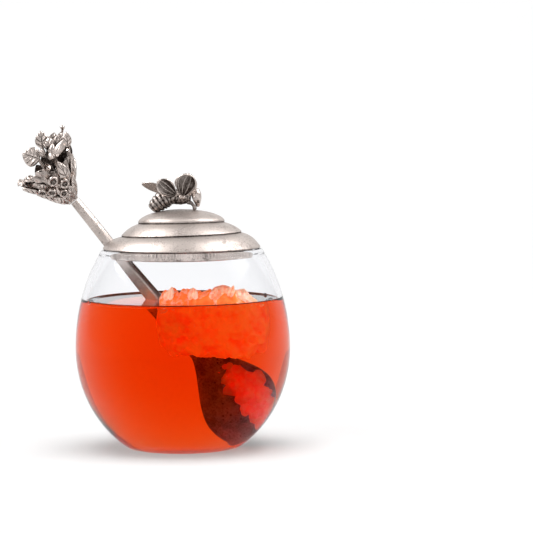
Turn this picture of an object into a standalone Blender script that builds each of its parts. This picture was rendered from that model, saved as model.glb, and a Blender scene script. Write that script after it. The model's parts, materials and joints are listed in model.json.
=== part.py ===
"""Covered honey pot: a round glass bowl of honey, a stepped pewter lid with a bee, and a posy spoon.

The origin is the centre of the bowl's foot on the table, +Z is up and the bowl turns about Z.
The spoon leans out over the lip on the -X side, and the front of the pot looks along -Y.
"""
import math

import bmesh
import bpy
import numpy as np
from mathutils import Matrix, Vector

# Clearance between neighbouring pieces, and how finely round pieces are turned
GAP = 0.0003
TURN_STEPS = 40
CUT_OVERRUN = 0.010

# Glass bowl: one half ellipse above its widest ring and one below
BOWL_RADIUS = 0.0540
EQUATOR_HEIGHT = 0.0504
SHOULDER_HEIGHT = 0.0500
CROWN_CUT = 0.0247
FOOT_CUT = 0.0081
BOWL_WALL = 0.0025
LIP_OUTER_DROP = 0.0020
LIP_INNER_DROP = 0.0010
LIP_CREST_INSET = 0.0007
FOOT_ROUND = 0.0016
FOOT_FLAT_INSET = 0.0040
FLOOR_THICKNESS = 0.0032
FLOOR_ROUND = 0.0030
FLOOR_FLAT_INSET = 0.0060

# Honey and the piece of comb that floats in it
HONEY_HEADROOM = 0.0254
COMB_THICKNESS = 0.0225
COMB_STEM_CLEARANCE = 0.0022
COMB_WALL_CLEARANCE = 0.0016
COMB_LEFT = 0.0100
COMB_DRAUGHT = 0.0290
COMB_RISE = 0.0072
COMB_TOP_SHARES = (
    (0.00, 0.70), (0.05, 1.00), (0.14, 0.78), (0.24, 0.84), (0.33, 0.98), (0.42, 0.72),
    (0.50, 0.94), (0.58, 0.66), (0.67, 1.00), (0.76, 0.90), (0.82, 0.48), (0.92, 0.40), (1.00, 0.24),
)
CELL_WIDTH = 0.0054
CELL_WALL = 0.0010
CELL_DEPTH = 0.0095

# Lid: three swelling tiers over a hollow, and the collar under it that drops into the bowl's mouth
LID_OVERHANG = 0.0010
LID_RISE = 0.0196
LID_CROWN_WALL = 0.0020
RIM_EDGE = 0.0006
GROOVE_DEPTH = 0.0004
TIER_RADIUS_SHARES = (1.0, 0.762, 0.549)
TIER_HEIGHT_SHARES = (0.031, 0.388, 0.684)
TIER_BULGES = (0.0014, 0.0007)
TOP_TIER_EXPONENT = 1.85
HOLLOW_EXPONENT = 1.43
COLLAR_PLAY = 0.0022
COLLAR_WALL = 0.0015
COLLAR_DEPTH = 0.0048
COLLAR_EDGE = 0.0004

# Spoon: a faceted stem whose lower edge lies on the lip, and an egg-shaped bowl
STEM_LEAN = math.radians(37.4)
STEM_AZIMUTH = math.radians(177.5)
STEM_TOP_WIDTH = 0.0038
STEM_LIP_WIDTH = 0.0056
STEM_LOW_WIDTH = 0.0077
STEM_LOW_DROP = 0.0330
STEM_ABOVE_LIP = 0.0305
STEM_DEPTH = 0.0045
STEM_EDGE_SHARE = 0.35
STEM_RIDGE_SHARE = 0.25
SPOON_BOWL_LENGTH = 0.0470
SPOON_BOWL_WIDTH = 0.0310
SPOON_BOWL_DEPTH = 0.0075
SPOON_BOWL_WALL = 0.0015
SPOON_WIDEST_SHARE = 0.56
SPOON_TIP_CLEARANCE = 0.0016
SPOON_DRAW = 0.0250

# Notch in lid and collar that lets the stem out
NOTCH_SIDE_CLEARANCE = 0.0006
NOTCH_END_CLEARANCE = 0.0004

# Bee, in sizes from the top of the lid: x towards its head, z up
BEE_ABDOMEN = (
    (-0.0152, -0.0001, 0.0012), (-0.0139, 0.0012, 0.0026), (-0.0115, 0.0030, 0.0035),
    (-0.0093, 0.0045, 0.0040), (-0.0066, 0.0057, 0.0042), (-0.0047, 0.0062, 0.0034),
)
BEE_THORAX = (
    (-0.0041, 0.0063, 0.0026), (-0.0024, 0.0064, 0.0037), (0.0004, 0.0063, 0.0038),
    (0.0030, 0.0060, 0.0031), (0.0049, 0.0058, 0.0020),
)
BEE_HEAD = (
    (0.0081, 0.0013, 0.0006), (0.0082, 0.0032, 0.0017), (0.0078, 0.0058, 0.0024),
    (0.0072, 0.0084, 0.0021), (0.0068, 0.0100, 0.0010),
)
BEE_HEAD_BREADTH_SHARE = 1.35
BEE_BAND_SHARE = 0.07
BEE_WING_THICKNESS = 0.0010
BEE_LEG_RADIUS = 0.0008

# Bee's wings: side, root (x, up from the shoulder), tip (x, out from the root, up from the shoulder), width
BEE_WINGS = (
    ("bee_forewing_near", -1.0, (0.0002, 0.0012), (0.0042, -0.0034, 0.0112), 0.0096),
    ("bee_hindwing_near", -1.0, (-0.0026, 0.0012), (-0.0120, -0.0022, 0.0080), 0.0070),
    ("bee_forewing_far", 1.0, (0.0002, 0.0012), (0.0010, 0.0040, 0.0110), 0.0090),
    ("bee_hindwing_far", 1.0, (-0.0026, 0.0012), (-0.0198, 0.0042, 0.0080), 0.0062),
)

# Posy on top of the stem: a flared calyx with lobes, open buds on its front and leaves in its mouth
POSY_TILT = math.radians(1.7)
CALYX_LENGTH = 0.0205
CALYX_MOUTH_RADIUS = 0.0148
CALYX_THROAT_RADIUS = 0.0028
CALYX_WALL = 0.0014
CALYX_FLARE = 1.15
CALYX_LOBES = 7
CALYX_LOBE_RISE = 0.0017
CALYX_FLUTE_SHARE = 0.07
CALYX_FLOOR = 0.0085
BUD_HEIGHT = 0.0026
BUD_WALL = 0.0005
LEAF_THICKNESS = 0.0009
STALK_RADIUS = 0.0008

# Buds on the calyx: place across its front, place along it, radius
BUDS = (
    ("bud_1", -0.0018, 0.0065, 0.0017), ("bud_2", -0.0045, 0.0105, 0.0019),
    ("bud_3", 0.0012, 0.0103, 0.0020), ("bud_4", -0.0082, 0.0143, 0.0020),
    ("bud_5", -0.0019, 0.0146, 0.0022),
)

# Leaves on stalks in the mouth: foot on the floor, top of the stalk, tip of the leaf, width
STALK_LEAVES = (
    ("leaf_left", (-0.0026, -0.0018), (-0.0005, -0.0030, 0.0268), (-0.0068, -0.0046, 0.0336), 0.0086),
    ("leaf_top", (0.0006, 0.0024), (0.0038, 0.0030, 0.0305), (0.0088, 0.0030, 0.0372), 0.0056),
)

# Blossom cup on its stalk: (radius, height) from the inside out, its foot on the floor and its lean
BLOSSOM_CUP = (
    (0.0000, 0.0265), (0.0012, 0.0270), (0.0030, 0.0298),
    (0.0033, 0.0296), (0.0024, 0.0255), (0.0008, 0.0232),
)
BLOSSOM_FOOT = (0.0030, 0.0002)
BLOSSOM_LEAN = (0.0048, -0.0010, 0.0198)

# Closed bud: places and radii from its foot on the floor to its tip
BUD_STALK = (
    (0.0022, -0.0030, 0.0091, 0.0008), (0.0052, -0.0052, 0.0185, 0.0008), (0.0062, -0.0060, 0.0212, 0.0014),
    (0.0065, -0.0062, 0.0226, 0.0018), (0.0066, -0.0064, 0.0240, 0.0013), (0.0067, -0.0065, 0.0248, 0.0004),
)

# Pieces on the rim: the seed stalk's places and radii above its foot, and reach and width of two leaves
SEED_STALK = (
    (0.0132, 0.0085, 0.0282, 0.0006), (0.0172, 0.0062, 0.0308, 0.0006), (0.0186, 0.0056, 0.0321, 0.0013),
    (0.0191, 0.0054, 0.0328, 0.0011), (0.0194, 0.0053, 0.0334, 0.0004),
)
RIGHT_LEAF_REACH = (0.0028, -0.0006, 0.0060)
RIGHT_LEAF_WIDTH = 0.0044
CURLED_LEAF_REACH = (-0.0026, -0.0022, 0.0026)
CURLED_LEAF_WIDTH = 0.0060
SEPAL_TURN = math.radians(-55.0)
SEPAL_SHARES = (0.42, 0.64, 0.86)
SEPAL_WIDTH = 0.0052

# Heights and radii that follow from the sizes above
BOWL_HEIGHT = EQUATOR_HEIGHT + SHOULDER_HEIGHT
UPPER_REACH = SHOULDER_HEIGHT + CROWN_CUT
LOWER_REACH = EQUATOR_HEIGHT + FOOT_CUT
HONEY_LEVEL = BOWL_HEIGHT - HONEY_HEADROOM
LID_BASE = BOWL_HEIGHT + GAP


def wall_radius(height, inset=0.0):
    """Radius of the bowl's wall at a height, measured at an inset from its outer face."""
    reach = UPPER_REACH if height > EQUATOR_HEIGHT else LOWER_REACH
    share = (height - EQUATOR_HEIGHT) / (reach - inset)
    return (BOWL_RADIUS - inset) * math.sqrt(1.0 - share * share)


MOUTH_RADIUS = wall_radius(BOWL_HEIGHT - LIP_INNER_DROP, BOWL_WALL)
LIP_CREST_RADIUS = MOUTH_RADIUS + LIP_CREST_INSET
LID_RADIUS = LIP_CREST_RADIUS + LID_OVERHANG
COLLAR_RADIUS = MOUTH_RADIUS - COLLAR_PLAY
HOLLOW_RADIUS = COLLAR_RADIUS - COLLAR_WALL


def clear_scene():
    """Start from an empty scene."""
    for item in list(bpy.data.objects):
        bpy.data.objects.remove(item, do_unlink=True)


def finish(name, colour, roughness, metallic=0.0, transmission=0.0):
    """A plain finish for the pieces that share it."""
    material = bpy.data.materials.new(name)
    material.use_nodes = True
    shader = material.node_tree.nodes["Principled BSDF"]
    shader.inputs["Base Color"].default_value = (*colour, 1.0)
    shader.inputs["Roughness"].default_value = roughness
    shader.inputs["Metallic"].default_value = metallic
    shader.inputs["Transmission Weight"].default_value = transmission
    material.diffuse_color = (*colour, 1.0)
    return material


def place(obj, material, parent):
    """Link a piece into the scene with its finish and its parent."""
    bpy.context.collection.objects.link(obj)
    if material:
        obj.data.materials.append(material)
    obj.parent = parent
    return obj


def axis_empty(name, matrix, parent=None):
    """An empty on a joint's axis or a seat, which carries pieces."""
    empty = bpy.data.objects.new(name, None)
    empty.matrix_local = matrix
    return place(empty, None, parent)


def mark_cutter(obj):
    """Make an object a tool that only cuts others."""
    obj.hide_render = True
    obj.display_type = "WIRE"
    return obj


def cut(obj, cutter):
    """Take one object's volume out of another."""
    modifier = obj.modifiers.new("Cut " + cutter.name, "BOOLEAN")
    modifier.operation = "DIFFERENCE"
    modifier.solver = "EXACT"
    modifier.object = cutter


def turned(name, profile, material, parent=None, steps=TURN_STEPS):
    """A piece turned about Z from (radius, height) points that run down its outer side."""
    mesh = bpy.data.meshes.new(name)
    edges = [(i, i + 1) for i in range(len(profile) - 1)]
    mesh.from_pydata([(radius, 0.0, height) for radius, height in profile], edges, [])
    obj = place(bpy.data.objects.new(name, mesh), material, parent)
    lathe = obj.modifiers.new("Turn", "SCREW")
    lathe.axis = "Z"
    lathe.steps = steps
    lathe.render_steps = steps
    lathe.use_merge_vertices = True
    lathe.merge_threshold = 0.00001
    lathe.use_smooth_shade = True
    return obj


def lofted(name, rings, material, parent=None):
    """A closed solid through rings of points, with its first and last ring filled."""
    shape = bmesh.new()
    rows = [[shape.verts.new(point) for point in ring] for ring in rings]
    for low, high in zip(rows, rows[1:]):
        for i, corner in enumerate(low):
            j = (i + 1) % len(low)
            shape.faces.new((corner, low[j], high[j], high[i]))
    shape.faces.new(rows[0])
    shape.faces.new(rows[-1])
    bmesh.ops.recalc_face_normals(shape, faces=shape.faces)
    mesh = bpy.data.meshes.new(name)
    shape.to_mesh(mesh)
    shape.free()
    mesh.shade_smooth()
    mesh.set_sharp_from_angle(angle=math.radians(35.0))
    return place(bpy.data.objects.new(name, mesh), material, parent)


def rounded(start, corner, end, steps=5):
    """A round turn between two points, drawn towards the corner between them."""
    points = []
    for t in np.linspace(0.0, 1.0, steps):
        weights = ((1 - t) ** 2, 2 * t * (1 - t), t ** 2)
        points.append(tuple(sum(w * p[k] for w, p in zip(weights, (start, corner, end))) for k in (0, 1)))
    return points


def wall_curve(low, high, inset, steps):
    """Points of the bowl's wall from a low height to a high one, even in angle on each ellipse."""
    def angle(height):
        reach = UPPER_REACH if height > EQUATOR_HEIGHT else LOWER_REACH
        return math.asin((height - EQUATOR_HEIGHT) / (reach - inset))

    points = []
    for turn in np.linspace(angle(low), angle(high), steps):
        reach = UPPER_REACH if turn > 0.0 else LOWER_REACH
        radius = (BOWL_RADIUS - inset) * math.cos(turn)
        points.append((radius, EQUATOR_HEIGHT + (reach - inset) * math.sin(turn)))
    return points


def dished_bottom(height, round_height, flat_inset, inset):
    """The flat and the round edge at the bottom of the bowl's inner or outer face, from the axis out."""
    edge = wall_radius(height, inset)
    flat = (edge - flat_inset, height)
    wall = (wall_radius(height + round_height, inset), height + round_height)
    return [(0.0, height)] + rounded(flat, (edge, height), wall)


def lip_quarter(outer):
    """The rounded lip from its inner or its outer wall up to the crest."""
    drop = LIP_OUTER_DROP if outer else LIP_INNER_DROP
    edge = wall_radius(BOWL_HEIGHT - drop, 0.0 if outer else BOWL_WALL)
    points = []
    for turn in np.linspace(0.0, math.pi / 2, 5):
        radius = LIP_CREST_RADIUS + (edge - LIP_CREST_RADIUS) * math.cos(turn)
        points.append((radius, BOWL_HEIGHT - drop + drop * math.sin(turn)))
    return points


def build_glass_bowl(glass):
    """Round bowl with a flat foot, a thin wall and a fire-polished lip."""
    inner = dished_bottom(FLOOR_THICKNESS, FLOOR_ROUND, FLOOR_FLAT_INSET, BOWL_WALL)
    inner += wall_curve(FLOOR_THICKNESS + FLOOR_ROUND, BOWL_HEIGHT - LIP_INNER_DROP, BOWL_WALL, 13)[1:]
    inner += lip_quarter(outer=False)[1:]
    outer = dished_bottom(0.0, FOOT_ROUND, FOOT_FLAT_INSET, 0.0)
    outer += wall_curve(FOOT_ROUND, BOWL_HEIGHT - LIP_OUTER_DROP, 0.0, 15)[1:]
    outer += lip_quarter(outer=True)[1:-1]
    return turned("glass_bowl", inner + outer[::-1], glass)


def build_honey(honey, cutters):
    """Honey that fills the bowl to its level, less the comb and the spoon that stand in it."""
    inset = BOWL_WALL + GAP
    side = dished_bottom(FLOOR_THICKNESS + GAP, FLOOR_ROUND, FLOOR_FLAT_INSET, inset)
    side += wall_curve(FLOOR_THICKNESS + GAP + FLOOR_ROUND, HONEY_LEVEL, inset, 11)[1:]
    obj = turned("honey", [(0.0, HONEY_LEVEL)] + side[::-1], honey)
    for cutter in cutters:
        cut(obj, cutter)
    return obj


def comb_box():
    """The comb's left, right, back and front faces: it clears the stem behind it and the wall."""
    back = -(STEM_DEPTH / 2 + COMB_STEM_CLEARANCE)
    front = back - COMB_THICKNESS
    clear = wall_radius(HONEY_LEVEL, BOWL_WALL) - COMB_WALL_CLEARANCE
    right = math.sqrt(clear * clear - front * front)
    return -COMB_LEFT, right, back, front


def comb_outline(grow):
    """The comb's outline seen from the front, with a broken top edge, grown by a clearance."""
    left, right, back, front = comb_box()
    bottom = HONEY_LEVEL - COMB_DRAUGHT
    points = [(right + grow, bottom - grow), (left - grow, bottom - grow)]
    for along, up in COMB_TOP_SHARES:
        x = left - grow + (right - left + 2 * grow) * along
        points.append((x, HONEY_LEVEL + COMB_RISE * up + grow))
    return points


def comb_slab(name, grow, material):
    """The comb's slab, extruded from its outline through its thickness."""
    left, right, back, front = comb_box()
    outline = comb_outline(grow)
    rings = [[(x, y, z) for x, z in outline] for y in (front - grow, back + grow)]
    return lofted(name, rings, material)


def cell_centres():
    """Centres of the open cells that fit whole in the comb's front face, in staggered rows."""
    left, right, back, front = comb_box()
    pitch = CELL_WIDTH + CELL_WALL
    row_pitch = pitch * math.sqrt(3.0) / 2
    half_height = CELL_WIDTH / math.sqrt(3.0)
    tops = [(left + (right - left) * along, HONEY_LEVEL + COMB_RISE * up) for along, up in COMB_TOP_SHARES]
    centres = []
    rows = int((COMB_DRAUGHT + COMB_RISE) / row_pitch)
    columns = int((right - left) / pitch)
    for row in range(rows):
        z = HONEY_LEVEL - COMB_DRAUGHT + CELL_WALL + half_height + row * row_pitch
        for column in range(columns):
            x = left + CELL_WALL + CELL_WIDTH / 2 + (column + (row % 2) / 2) * pitch
            above = np.interp([x - pitch / 2, x, x + pitch / 2], [t[0] for t in tops], [t[1] for t in tops])
            fits_up = z + half_height + CELL_WALL < min(above)
            if fits_up and x + CELL_WIDTH / 2 + CELL_WALL < right:
                centres.append((x, z))
    return centres


def build_honeycomb(wax):
    """A cut piece of comb: a wax slab with rows of six-sided cells open to the front."""
    obj = comb_slab("honeycomb", 0.0, wax)
    left, right, back, front = comb_box()
    shape = bmesh.new()
    for x, z in cell_centres():
        hexagon = []
        for k in range(6):
            turn = math.radians(30.0 + 60.0 * k)
            reach = CELL_WIDTH / math.sqrt(3.0)
            hexagon.append((x + reach * math.cos(turn), z + reach * math.sin(turn)))
        near = [shape.verts.new((px, front - CUT_OVERRUN, pz)) for px, pz in hexagon]
        deep = [shape.verts.new((px, front + CELL_DEPTH, pz)) for px, pz in hexagon]
        shape.faces.new(near)
        shape.faces.new(deep[::-1])
        for k in range(6):
            shape.faces.new((near[k - 1], near[k], deep[k], deep[k - 1]))
    bmesh.ops.recalc_face_normals(shape, faces=shape.faces)
    mesh = bpy.data.meshes.new("cell_cutter")
    shape.to_mesh(mesh)
    shape.free()
    cutter = mark_cutter(place(bpy.data.objects.new("cell_cutter", mesh), None, None))
    cut(obj, cutter)
    return obj


def bulged(start, end, bulge, steps=7):
    """An arc between two (radius, height) points that swells outwards by a bulge."""
    (r0, z0), (r1, z1) = start, end
    length = math.hypot(r1 - r0, z1 - z0)
    normal = ((z0 - z1) / length, (r1 - r0) / length)
    if normal[1] < 0.0:
        normal = (-normal[0], -normal[1])
    points = []
    for t in np.linspace(0.0, 1.0, steps):
        swell = 4.0 * bulge * t * (1.0 - t)
        points.append((r0 + (r1 - r0) * t + normal[0] * swell, z0 + (z1 - z0) * t + normal[1] * swell))
    return points


def swollen_dome(radius, base, rise, exponent, steps):
    """A dome from its top down to its base radius, rounder than a cone and flatter than a ball."""
    points = []
    for turn in np.linspace(math.pi / 2, 0.0, steps):
        across = radius * max(math.cos(turn), 0.0) ** (2.0 / exponent)
        points.append((across, base + rise * math.sin(turn) ** (2.0 / exponent)))
    points[0] = (0.0, base + rise)
    return points


def lid_top_height(radius):
    """Height of the top tier's face above the lid's underside at a radius."""
    base = LID_RISE * TIER_HEIGHT_SHARES[2]
    share = radius / (LID_RADIUS * TIER_RADIUS_SHARES[2])
    return base + (LID_RISE - base) * (1.0 - share ** TOP_TIER_EXPONENT) ** (1.0 / TOP_TIER_EXPONENT)


def build_lid_dome(pewter, parent, notch):
    """Lid of three swelling tiers with a groove under each, hollow below, notched for the stem."""
    radii = [LID_RADIUS * share for share in TIER_RADIUS_SHARES]
    heights = [LID_RISE * share for share in TIER_HEIGHT_SHARES]
    profile = swollen_dome(radii[2], heights[2], LID_RISE - heights[2], TOP_TIER_EXPONENT, 8)
    for tier in (1, 0):
        groove = (radii[tier + 1] - GROOVE_DEPTH, heights[tier + 1] - GROOVE_DEPTH)
        upper = (radii[tier + 1] + GROOVE_DEPTH, heights[tier + 1] - 2 * GROOVE_DEPTH)
        profile.append(groove)
        profile += bulged(upper, (radii[tier], heights[tier]), TIER_BULGES[tier])
    profile += rounded(profile.pop(), (LID_RADIUS, 0.0), (LID_RADIUS - RIM_EDGE, 0.0), 4)
    hollow = swollen_dome(HOLLOW_RADIUS, 0.0, LID_RISE - LID_CROWN_WALL, HOLLOW_EXPONENT, 12)
    obj = turned("lid_dome", profile + hollow[::-1], pewter, parent)
    cut(obj, notch)
    return obj


def build_lid_collar(pewter, parent, notch):
    """Collar ring soldered under the lid, open where the stem passes."""
    outer = [
        (HOLLOW_RADIUS, -GAP),
        (COLLAR_RADIUS, -GAP),
        (COLLAR_RADIUS, -COLLAR_DEPTH + COLLAR_EDGE),
        (COLLAR_RADIUS - COLLAR_EDGE, -COLLAR_DEPTH),
        (HOLLOW_RADIUS + COLLAR_EDGE, -COLLAR_DEPTH),
        (HOLLOW_RADIUS, -COLLAR_DEPTH + COLLAR_EDGE),
        (HOLLOW_RADIUS, -GAP),
    ]
    obj = turned("lid_collar", outer, pewter, parent)
    weld = obj.modifiers.new("Close", "WELD")
    weld.merge_threshold = 0.00001
    cut(obj, notch)
    return obj


def stem_crossing_radius():
    """Where the stem's line crosses the lid's underside, so that its lower edge clears the lip by GAP."""
    cosine = math.cos(STEM_LEAN)
    sine = math.sin(STEM_LEAN)
    reach = STEM_LIP_WIDTH / 2 + GAP
    lip = lip_quarter(outer=False)
    return min(radius - (reach + (height - LID_BASE) * sine) / cosine for radius, height in lip)


def spoon_frame():
    """Matrix of the spoon's own axes: z up along the stem, x towards the pot's axis, y to the back."""
    out = Vector((math.cos(STEM_AZIMUTH), math.sin(STEM_AZIMUTH), 0.0))
    up = Vector((0.0, 0.0, 1.0))
    along = out * math.sin(STEM_LEAN) + up * math.cos(STEM_LEAN)
    inward = -out * math.cos(STEM_LEAN) + up * math.sin(STEM_LEAN)
    back = along.cross(inward)
    matrix = Matrix((inward, back, along)).transposed().to_4x4()
    matrix.translation = out * stem_crossing_radius() + up * LID_BASE
    return matrix


def spoon_reach():
    """Length of the spoon below the lid, to where its tip comes up to the glass."""
    start = stem_crossing_radius()
    low, high = 0.0, (BOWL_HEIGHT - FLOOR_THICKNESS) / math.cos(STEM_LEAN)
    centre = stem_width(-STEM_LOW_DROP) / 2 - STEM_LIP_WIDTH / 2
    for _ in range(40):
        middle = (low + high) / 2
        across = middle * math.sin(STEM_LEAN) + centre * math.cos(STEM_LEAN) - start
        height = LID_BASE - middle * math.cos(STEM_LEAN) + centre * math.sin(STEM_LEAN)
        room = wall_radius(max(height, FLOOR_THICKNESS), BOWL_WALL) - abs(across)
        if room > SPOON_TIP_CLEARANCE / math.sin(STEM_LEAN) or across < 0.0:
            low = middle
        else:
            high = middle
    return low


def stem_width(along):
    """Width of the stem at a place along it, 0 at the lip, wider towards the spoon's bowl."""
    places = (-STEM_LOW_DROP, 0.0, STEM_ABOVE_LIP)
    return float(np.interp(along, places, (STEM_LOW_WIDTH, STEM_LIP_WIDTH, STEM_TOP_WIDTH)))


def spoon_section(along, reach, grow):
    """One ring across the spoon: half width, middle, dish, thickness and edge share at a place."""
    half = stem_width(along) / 2
    middle = half - STEM_LIP_WIDTH / 2
    dish, thickness, edge = 0.0, STEM_DEPTH, STEM_EDGE_SHARE
    share = (SPOON_BOWL_LENGTH - reach - along) / SPOON_BOWL_LENGTH
    if share > 0.0:
        neck = half
        if share < SPOON_WIDEST_SHARE:
            blend = share / SPOON_WIDEST_SHARE
            blend = blend * blend * (3.0 - 2.0 * blend)
            half = neck + (SPOON_BOWL_WIDTH / 2 - neck) * blend
        else:
            rest = min((share - SPOON_WIDEST_SHARE) / (1.0 - SPOON_WIDEST_SHARE), 1.0)
            blend = 1.0
            half = SPOON_BOWL_WIDTH / 2 * math.sqrt(max(1.0 - rest * rest, 0.01))
        full = half / (SPOON_BOWL_WIDTH / 2)
        dish = SPOON_BOWL_DEPTH * full * full * blend
        thin = min(blend * 2.0, 1.0)
        thickness += (SPOON_BOWL_WALL - STEM_DEPTH) * thin
        edge += (1.0 - STEM_EDGE_SHARE) * thin
    tip_share = min(max((share - SPOON_WIDEST_SHARE) / (1.0 - SPOON_WIDEST_SHARE), 0.0), 1.0)
    height = along - grow * tip_share
    ease = grow * math.sqrt(2.0)
    back, front = [], []
    for u in np.linspace(-1.0, 1.0, 9):
        side = 1.0 + STEM_RIDGE_SHARE if u < STEM_RIDGE_SHARE else 1.0 - STEM_RIDGE_SHARE
        facet = edge + (1.0 - edge) * (1.0 - abs(u - STEM_RIDGE_SHARE) / side)
        centre = dish * (1.0 - u * u)
        across = middle + half * u + (ease * u if abs(u) == 1.0 else 0.0)
        back.append((across, centre + thickness / 2 * facet + ease, height))
        front.append((across, centre - thickness / 2 * facet - ease, height))
    return back + front[::-1]


def spoon_rings(grow, top):
    """Rings of the whole spoon from its tip up to a height on the stem."""
    reach = spoon_reach()
    shares = (0.0, 0.015, 0.05, 0.11, 0.19, 0.28, 0.37, 0.46, 0.55, 0.64, 0.73, 0.82, 0.91, 1.0)
    places = [-reach + SPOON_BOWL_LENGTH * share for share in shares]
    places += [-STEM_LOW_DROP, 0.0, top]
    return [spoon_section(along, reach, grow) for along in places]


def build_spoon(pewter, parent):
    """Spoon cast in one piece: egg-shaped bowl and faceted stem."""
    return lofted("spoon", spoon_rings(0.0, STEM_ABOVE_LIP), pewter, parent)


def build_notch_cutter(frame_empty):
    """Cutter along the stem that opens lid and collar outwards and downwards."""
    high = stem_width(-SPOON_DRAW) - STEM_LIP_WIDTH / 2 + NOTCH_END_CLEARANCE
    low = -(LID_RADIUS - HOLLOW_RADIUS + CUT_OVERRUN)
    side = STEM_DEPTH / 2 + NOTCH_SIDE_CLEARANCE
    length = LID_RISE + COLLAR_DEPTH + CUT_OVERRUN
    square = ((low, -side), (high, -side), (high, side), (low, side))
    rings = [[(x, y, z) for x, y in square] for z in (-length, length)]
    return mark_cutter(lofted("notch_cutter", rings, None, frame_empty))


def body_of_rings(path, breadth_share=1.0, sides=14, band_share=0.0):
    """Rings square to a path of (x, z, radius), with every other ring drawn in to make bands."""
    rings = []
    for i, (x, z, radius) in enumerate(path):
        before = path[max(i - 1, 0)]
        after = path[min(i + 1, len(path) - 1)]
        length = math.hypot(after[0] - before[0], after[1] - before[1])
        normal = (-(after[1] - before[1]) / length, (after[0] - before[0]) / length)
        size = radius * (1.0 - band_share * (i % 2))
        ring = []
        for k in range(sides):
            turn = 2.0 * math.pi * k / sides
            rise = size * math.cos(turn)
            ring.append((x + normal[0] * rise, size * breadth_share * math.sin(turn), z + normal[1] * rise))
        rings.append(ring)
    return rings


def smoothed(path, steps):
    """A path resampled evenly with more stations between its own."""
    places = np.linspace(0.0, 1.0, len(path))
    fine = np.linspace(0.0, 1.0, steps)
    columns = [np.interp(fine, places, [point[k] for point in path]) for k in range(3)]
    return list(zip(*columns))


def blade_rings(base, tip, facing, width, thickness, root_share, bend, fullness=0.6, stations=9):
    """Rings of a thin blade from base to tip: width swells from a narrow root, bend lifts its middle."""
    base, tip = Vector(base), Vector(tip)
    along = (tip - base).normalized()
    normal = (Vector(facing) - along * along.dot(Vector(facing))).normalized()
    across = along.cross(normal)
    rings = []
    for t in np.linspace(0.0, 1.0, stations):
        swell = math.sin(math.pi * (0.04 + 0.92 * t) ** 1.15) ** fullness
        half = width / 2 * (root_share * (1.0 - t) + (1.0 - root_share * (1.0 - t)) * swell)
        centre = base + (tip - base) * t + normal * bend * 4.0 * t * (1.0 - t)
        top, bottom = [], []
        for v in (-1.0, -0.5, 0.0, 0.5, 1.0):
            edge = thickness / 2 * (1.0 - 0.5 * v * v)
            point = centre + across * half * v
            top.append(point + normal * edge)
            bottom.append(point - normal * edge)
        rings.append(top + bottom[::-1])
    return rings


def rod_rings(points, radius, sides=8):
    """Rings of a thin round rod along points."""
    vectors = [Vector(point) for point in points]
    rings = []
    for i, centre in enumerate(vectors):
        along = (vectors[min(i + 1, len(vectors) - 1)] - vectors[max(i - 1, 0)]).normalized()
        first = along.cross(Vector((0.0, 1.0, 0.0))).normalized()
        second = along.cross(first)
        size = radius[i] if isinstance(radius, (list, tuple)) else radius
        ring = []
        for k in range(sides):
            turn = 2.0 * math.pi * k / sides
            ring.append(centre + first * size * math.cos(turn) + second * size * math.sin(turn))
        rings.append(ring)
    return rings


def build_bee(pewter, parent):
    """Bee of cast pieces that stands on its tail and front legs: body, head, four wings and two legs."""
    abdomen = smoothed(BEE_ABDOMEN, 13)
    lofted("bee_abdomen", body_of_rings(abdomen, 1.0, 14, BEE_BAND_SHARE), pewter, parent)
    lofted("bee_thorax", body_of_rings(smoothed(BEE_THORAX, 7)), pewter, parent)
    lofted("bee_head", body_of_rings(smoothed(BEE_HEAD, 7), BEE_HEAD_BREADTH_SHARE), pewter, parent)
    thorax_side = BEE_THORAX[2][2] + BEE_WING_THICKNESS / 2 + GAP
    shoulder = BEE_THORAX[2][1]
    for name, side, (root_x, root_up), (tip_x, tip_out, tip_up), width in BEE_WINGS:
        root = (root_x, side * thorax_side, shoulder + root_up)
        tip = (tip_x, side * thorax_side + tip_out, shoulder + tip_up)
        facing = (0.0, side, 0.35)
        rings = blade_rings(root, tip, facing, width, BEE_WING_THICKNESS, 0.18, BEE_WING_THICKNESS / 2)
        lofted(name, rings, pewter, parent)
    build_bee_legs(pewter, parent)


def build_bee_legs(pewter, parent):
    """Two front legs from under the thorax down to the lid, bent at the knee."""
    hip_x, hip_z, hip_radius = BEE_THORAX[3]
    foot_x = BEE_HEAD[0][0] - 2 * BEE_LEG_RADIUS
    for name, side in (("bee_leg_near", -1.0), ("bee_leg_far", 1.0)):
        spread = side * hip_radius / 2
        foot_out = side * hip_radius * 0.75
        foot_up = lid_top_height(math.hypot(foot_x, foot_out)) - LID_RISE
        hip = (hip_x, spread, hip_z - hip_radius * 0.88 - GAP - BEE_LEG_RADIUS / 2)
        knee = ((hip_x + foot_x) / 2, (spread + foot_out) / 2, (hip[2] + foot_up) / 2 + BEE_LEG_RADIUS / 2)
        foot = (foot_x, foot_out, foot_up + GAP + BEE_LEG_RADIUS * 0.75)
        rings = rod_rings((hip, knee, foot), (BEE_LEG_RADIUS, BEE_LEG_RADIUS, BEE_LEG_RADIUS * 0.8))
        lofted(name, rings, pewter, parent)


def calyx_point(share, turn, inset=0.0):
    """A point of the calyx: share runs from its throat to its lobed rim, turn goes round its axis."""
    lobe = math.cos(CALYX_LOBES * turn)
    length = CALYX_LENGTH + CALYX_LOBE_RISE * lobe * share * share
    radius = CALYX_THROAT_RADIUS + (CALYX_MOUTH_RADIUS - CALYX_THROAT_RADIUS) * share ** CALYX_FLARE
    radius *= 1.0 + CALYX_FLUTE_SHARE * share * lobe
    radius -= inset
    return Vector((radius * math.cos(turn), radius * math.sin(turn), length * share))


def calyx_normal(share, turn):
    """The direction out of the calyx's outer face."""
    step = 0.01
    along = calyx_point(share + step, turn) - calyx_point(share - step, turn)
    around = calyx_point(share, turn + step) - calyx_point(share, turn - step)
    return around.cross(along).normalized()


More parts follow.
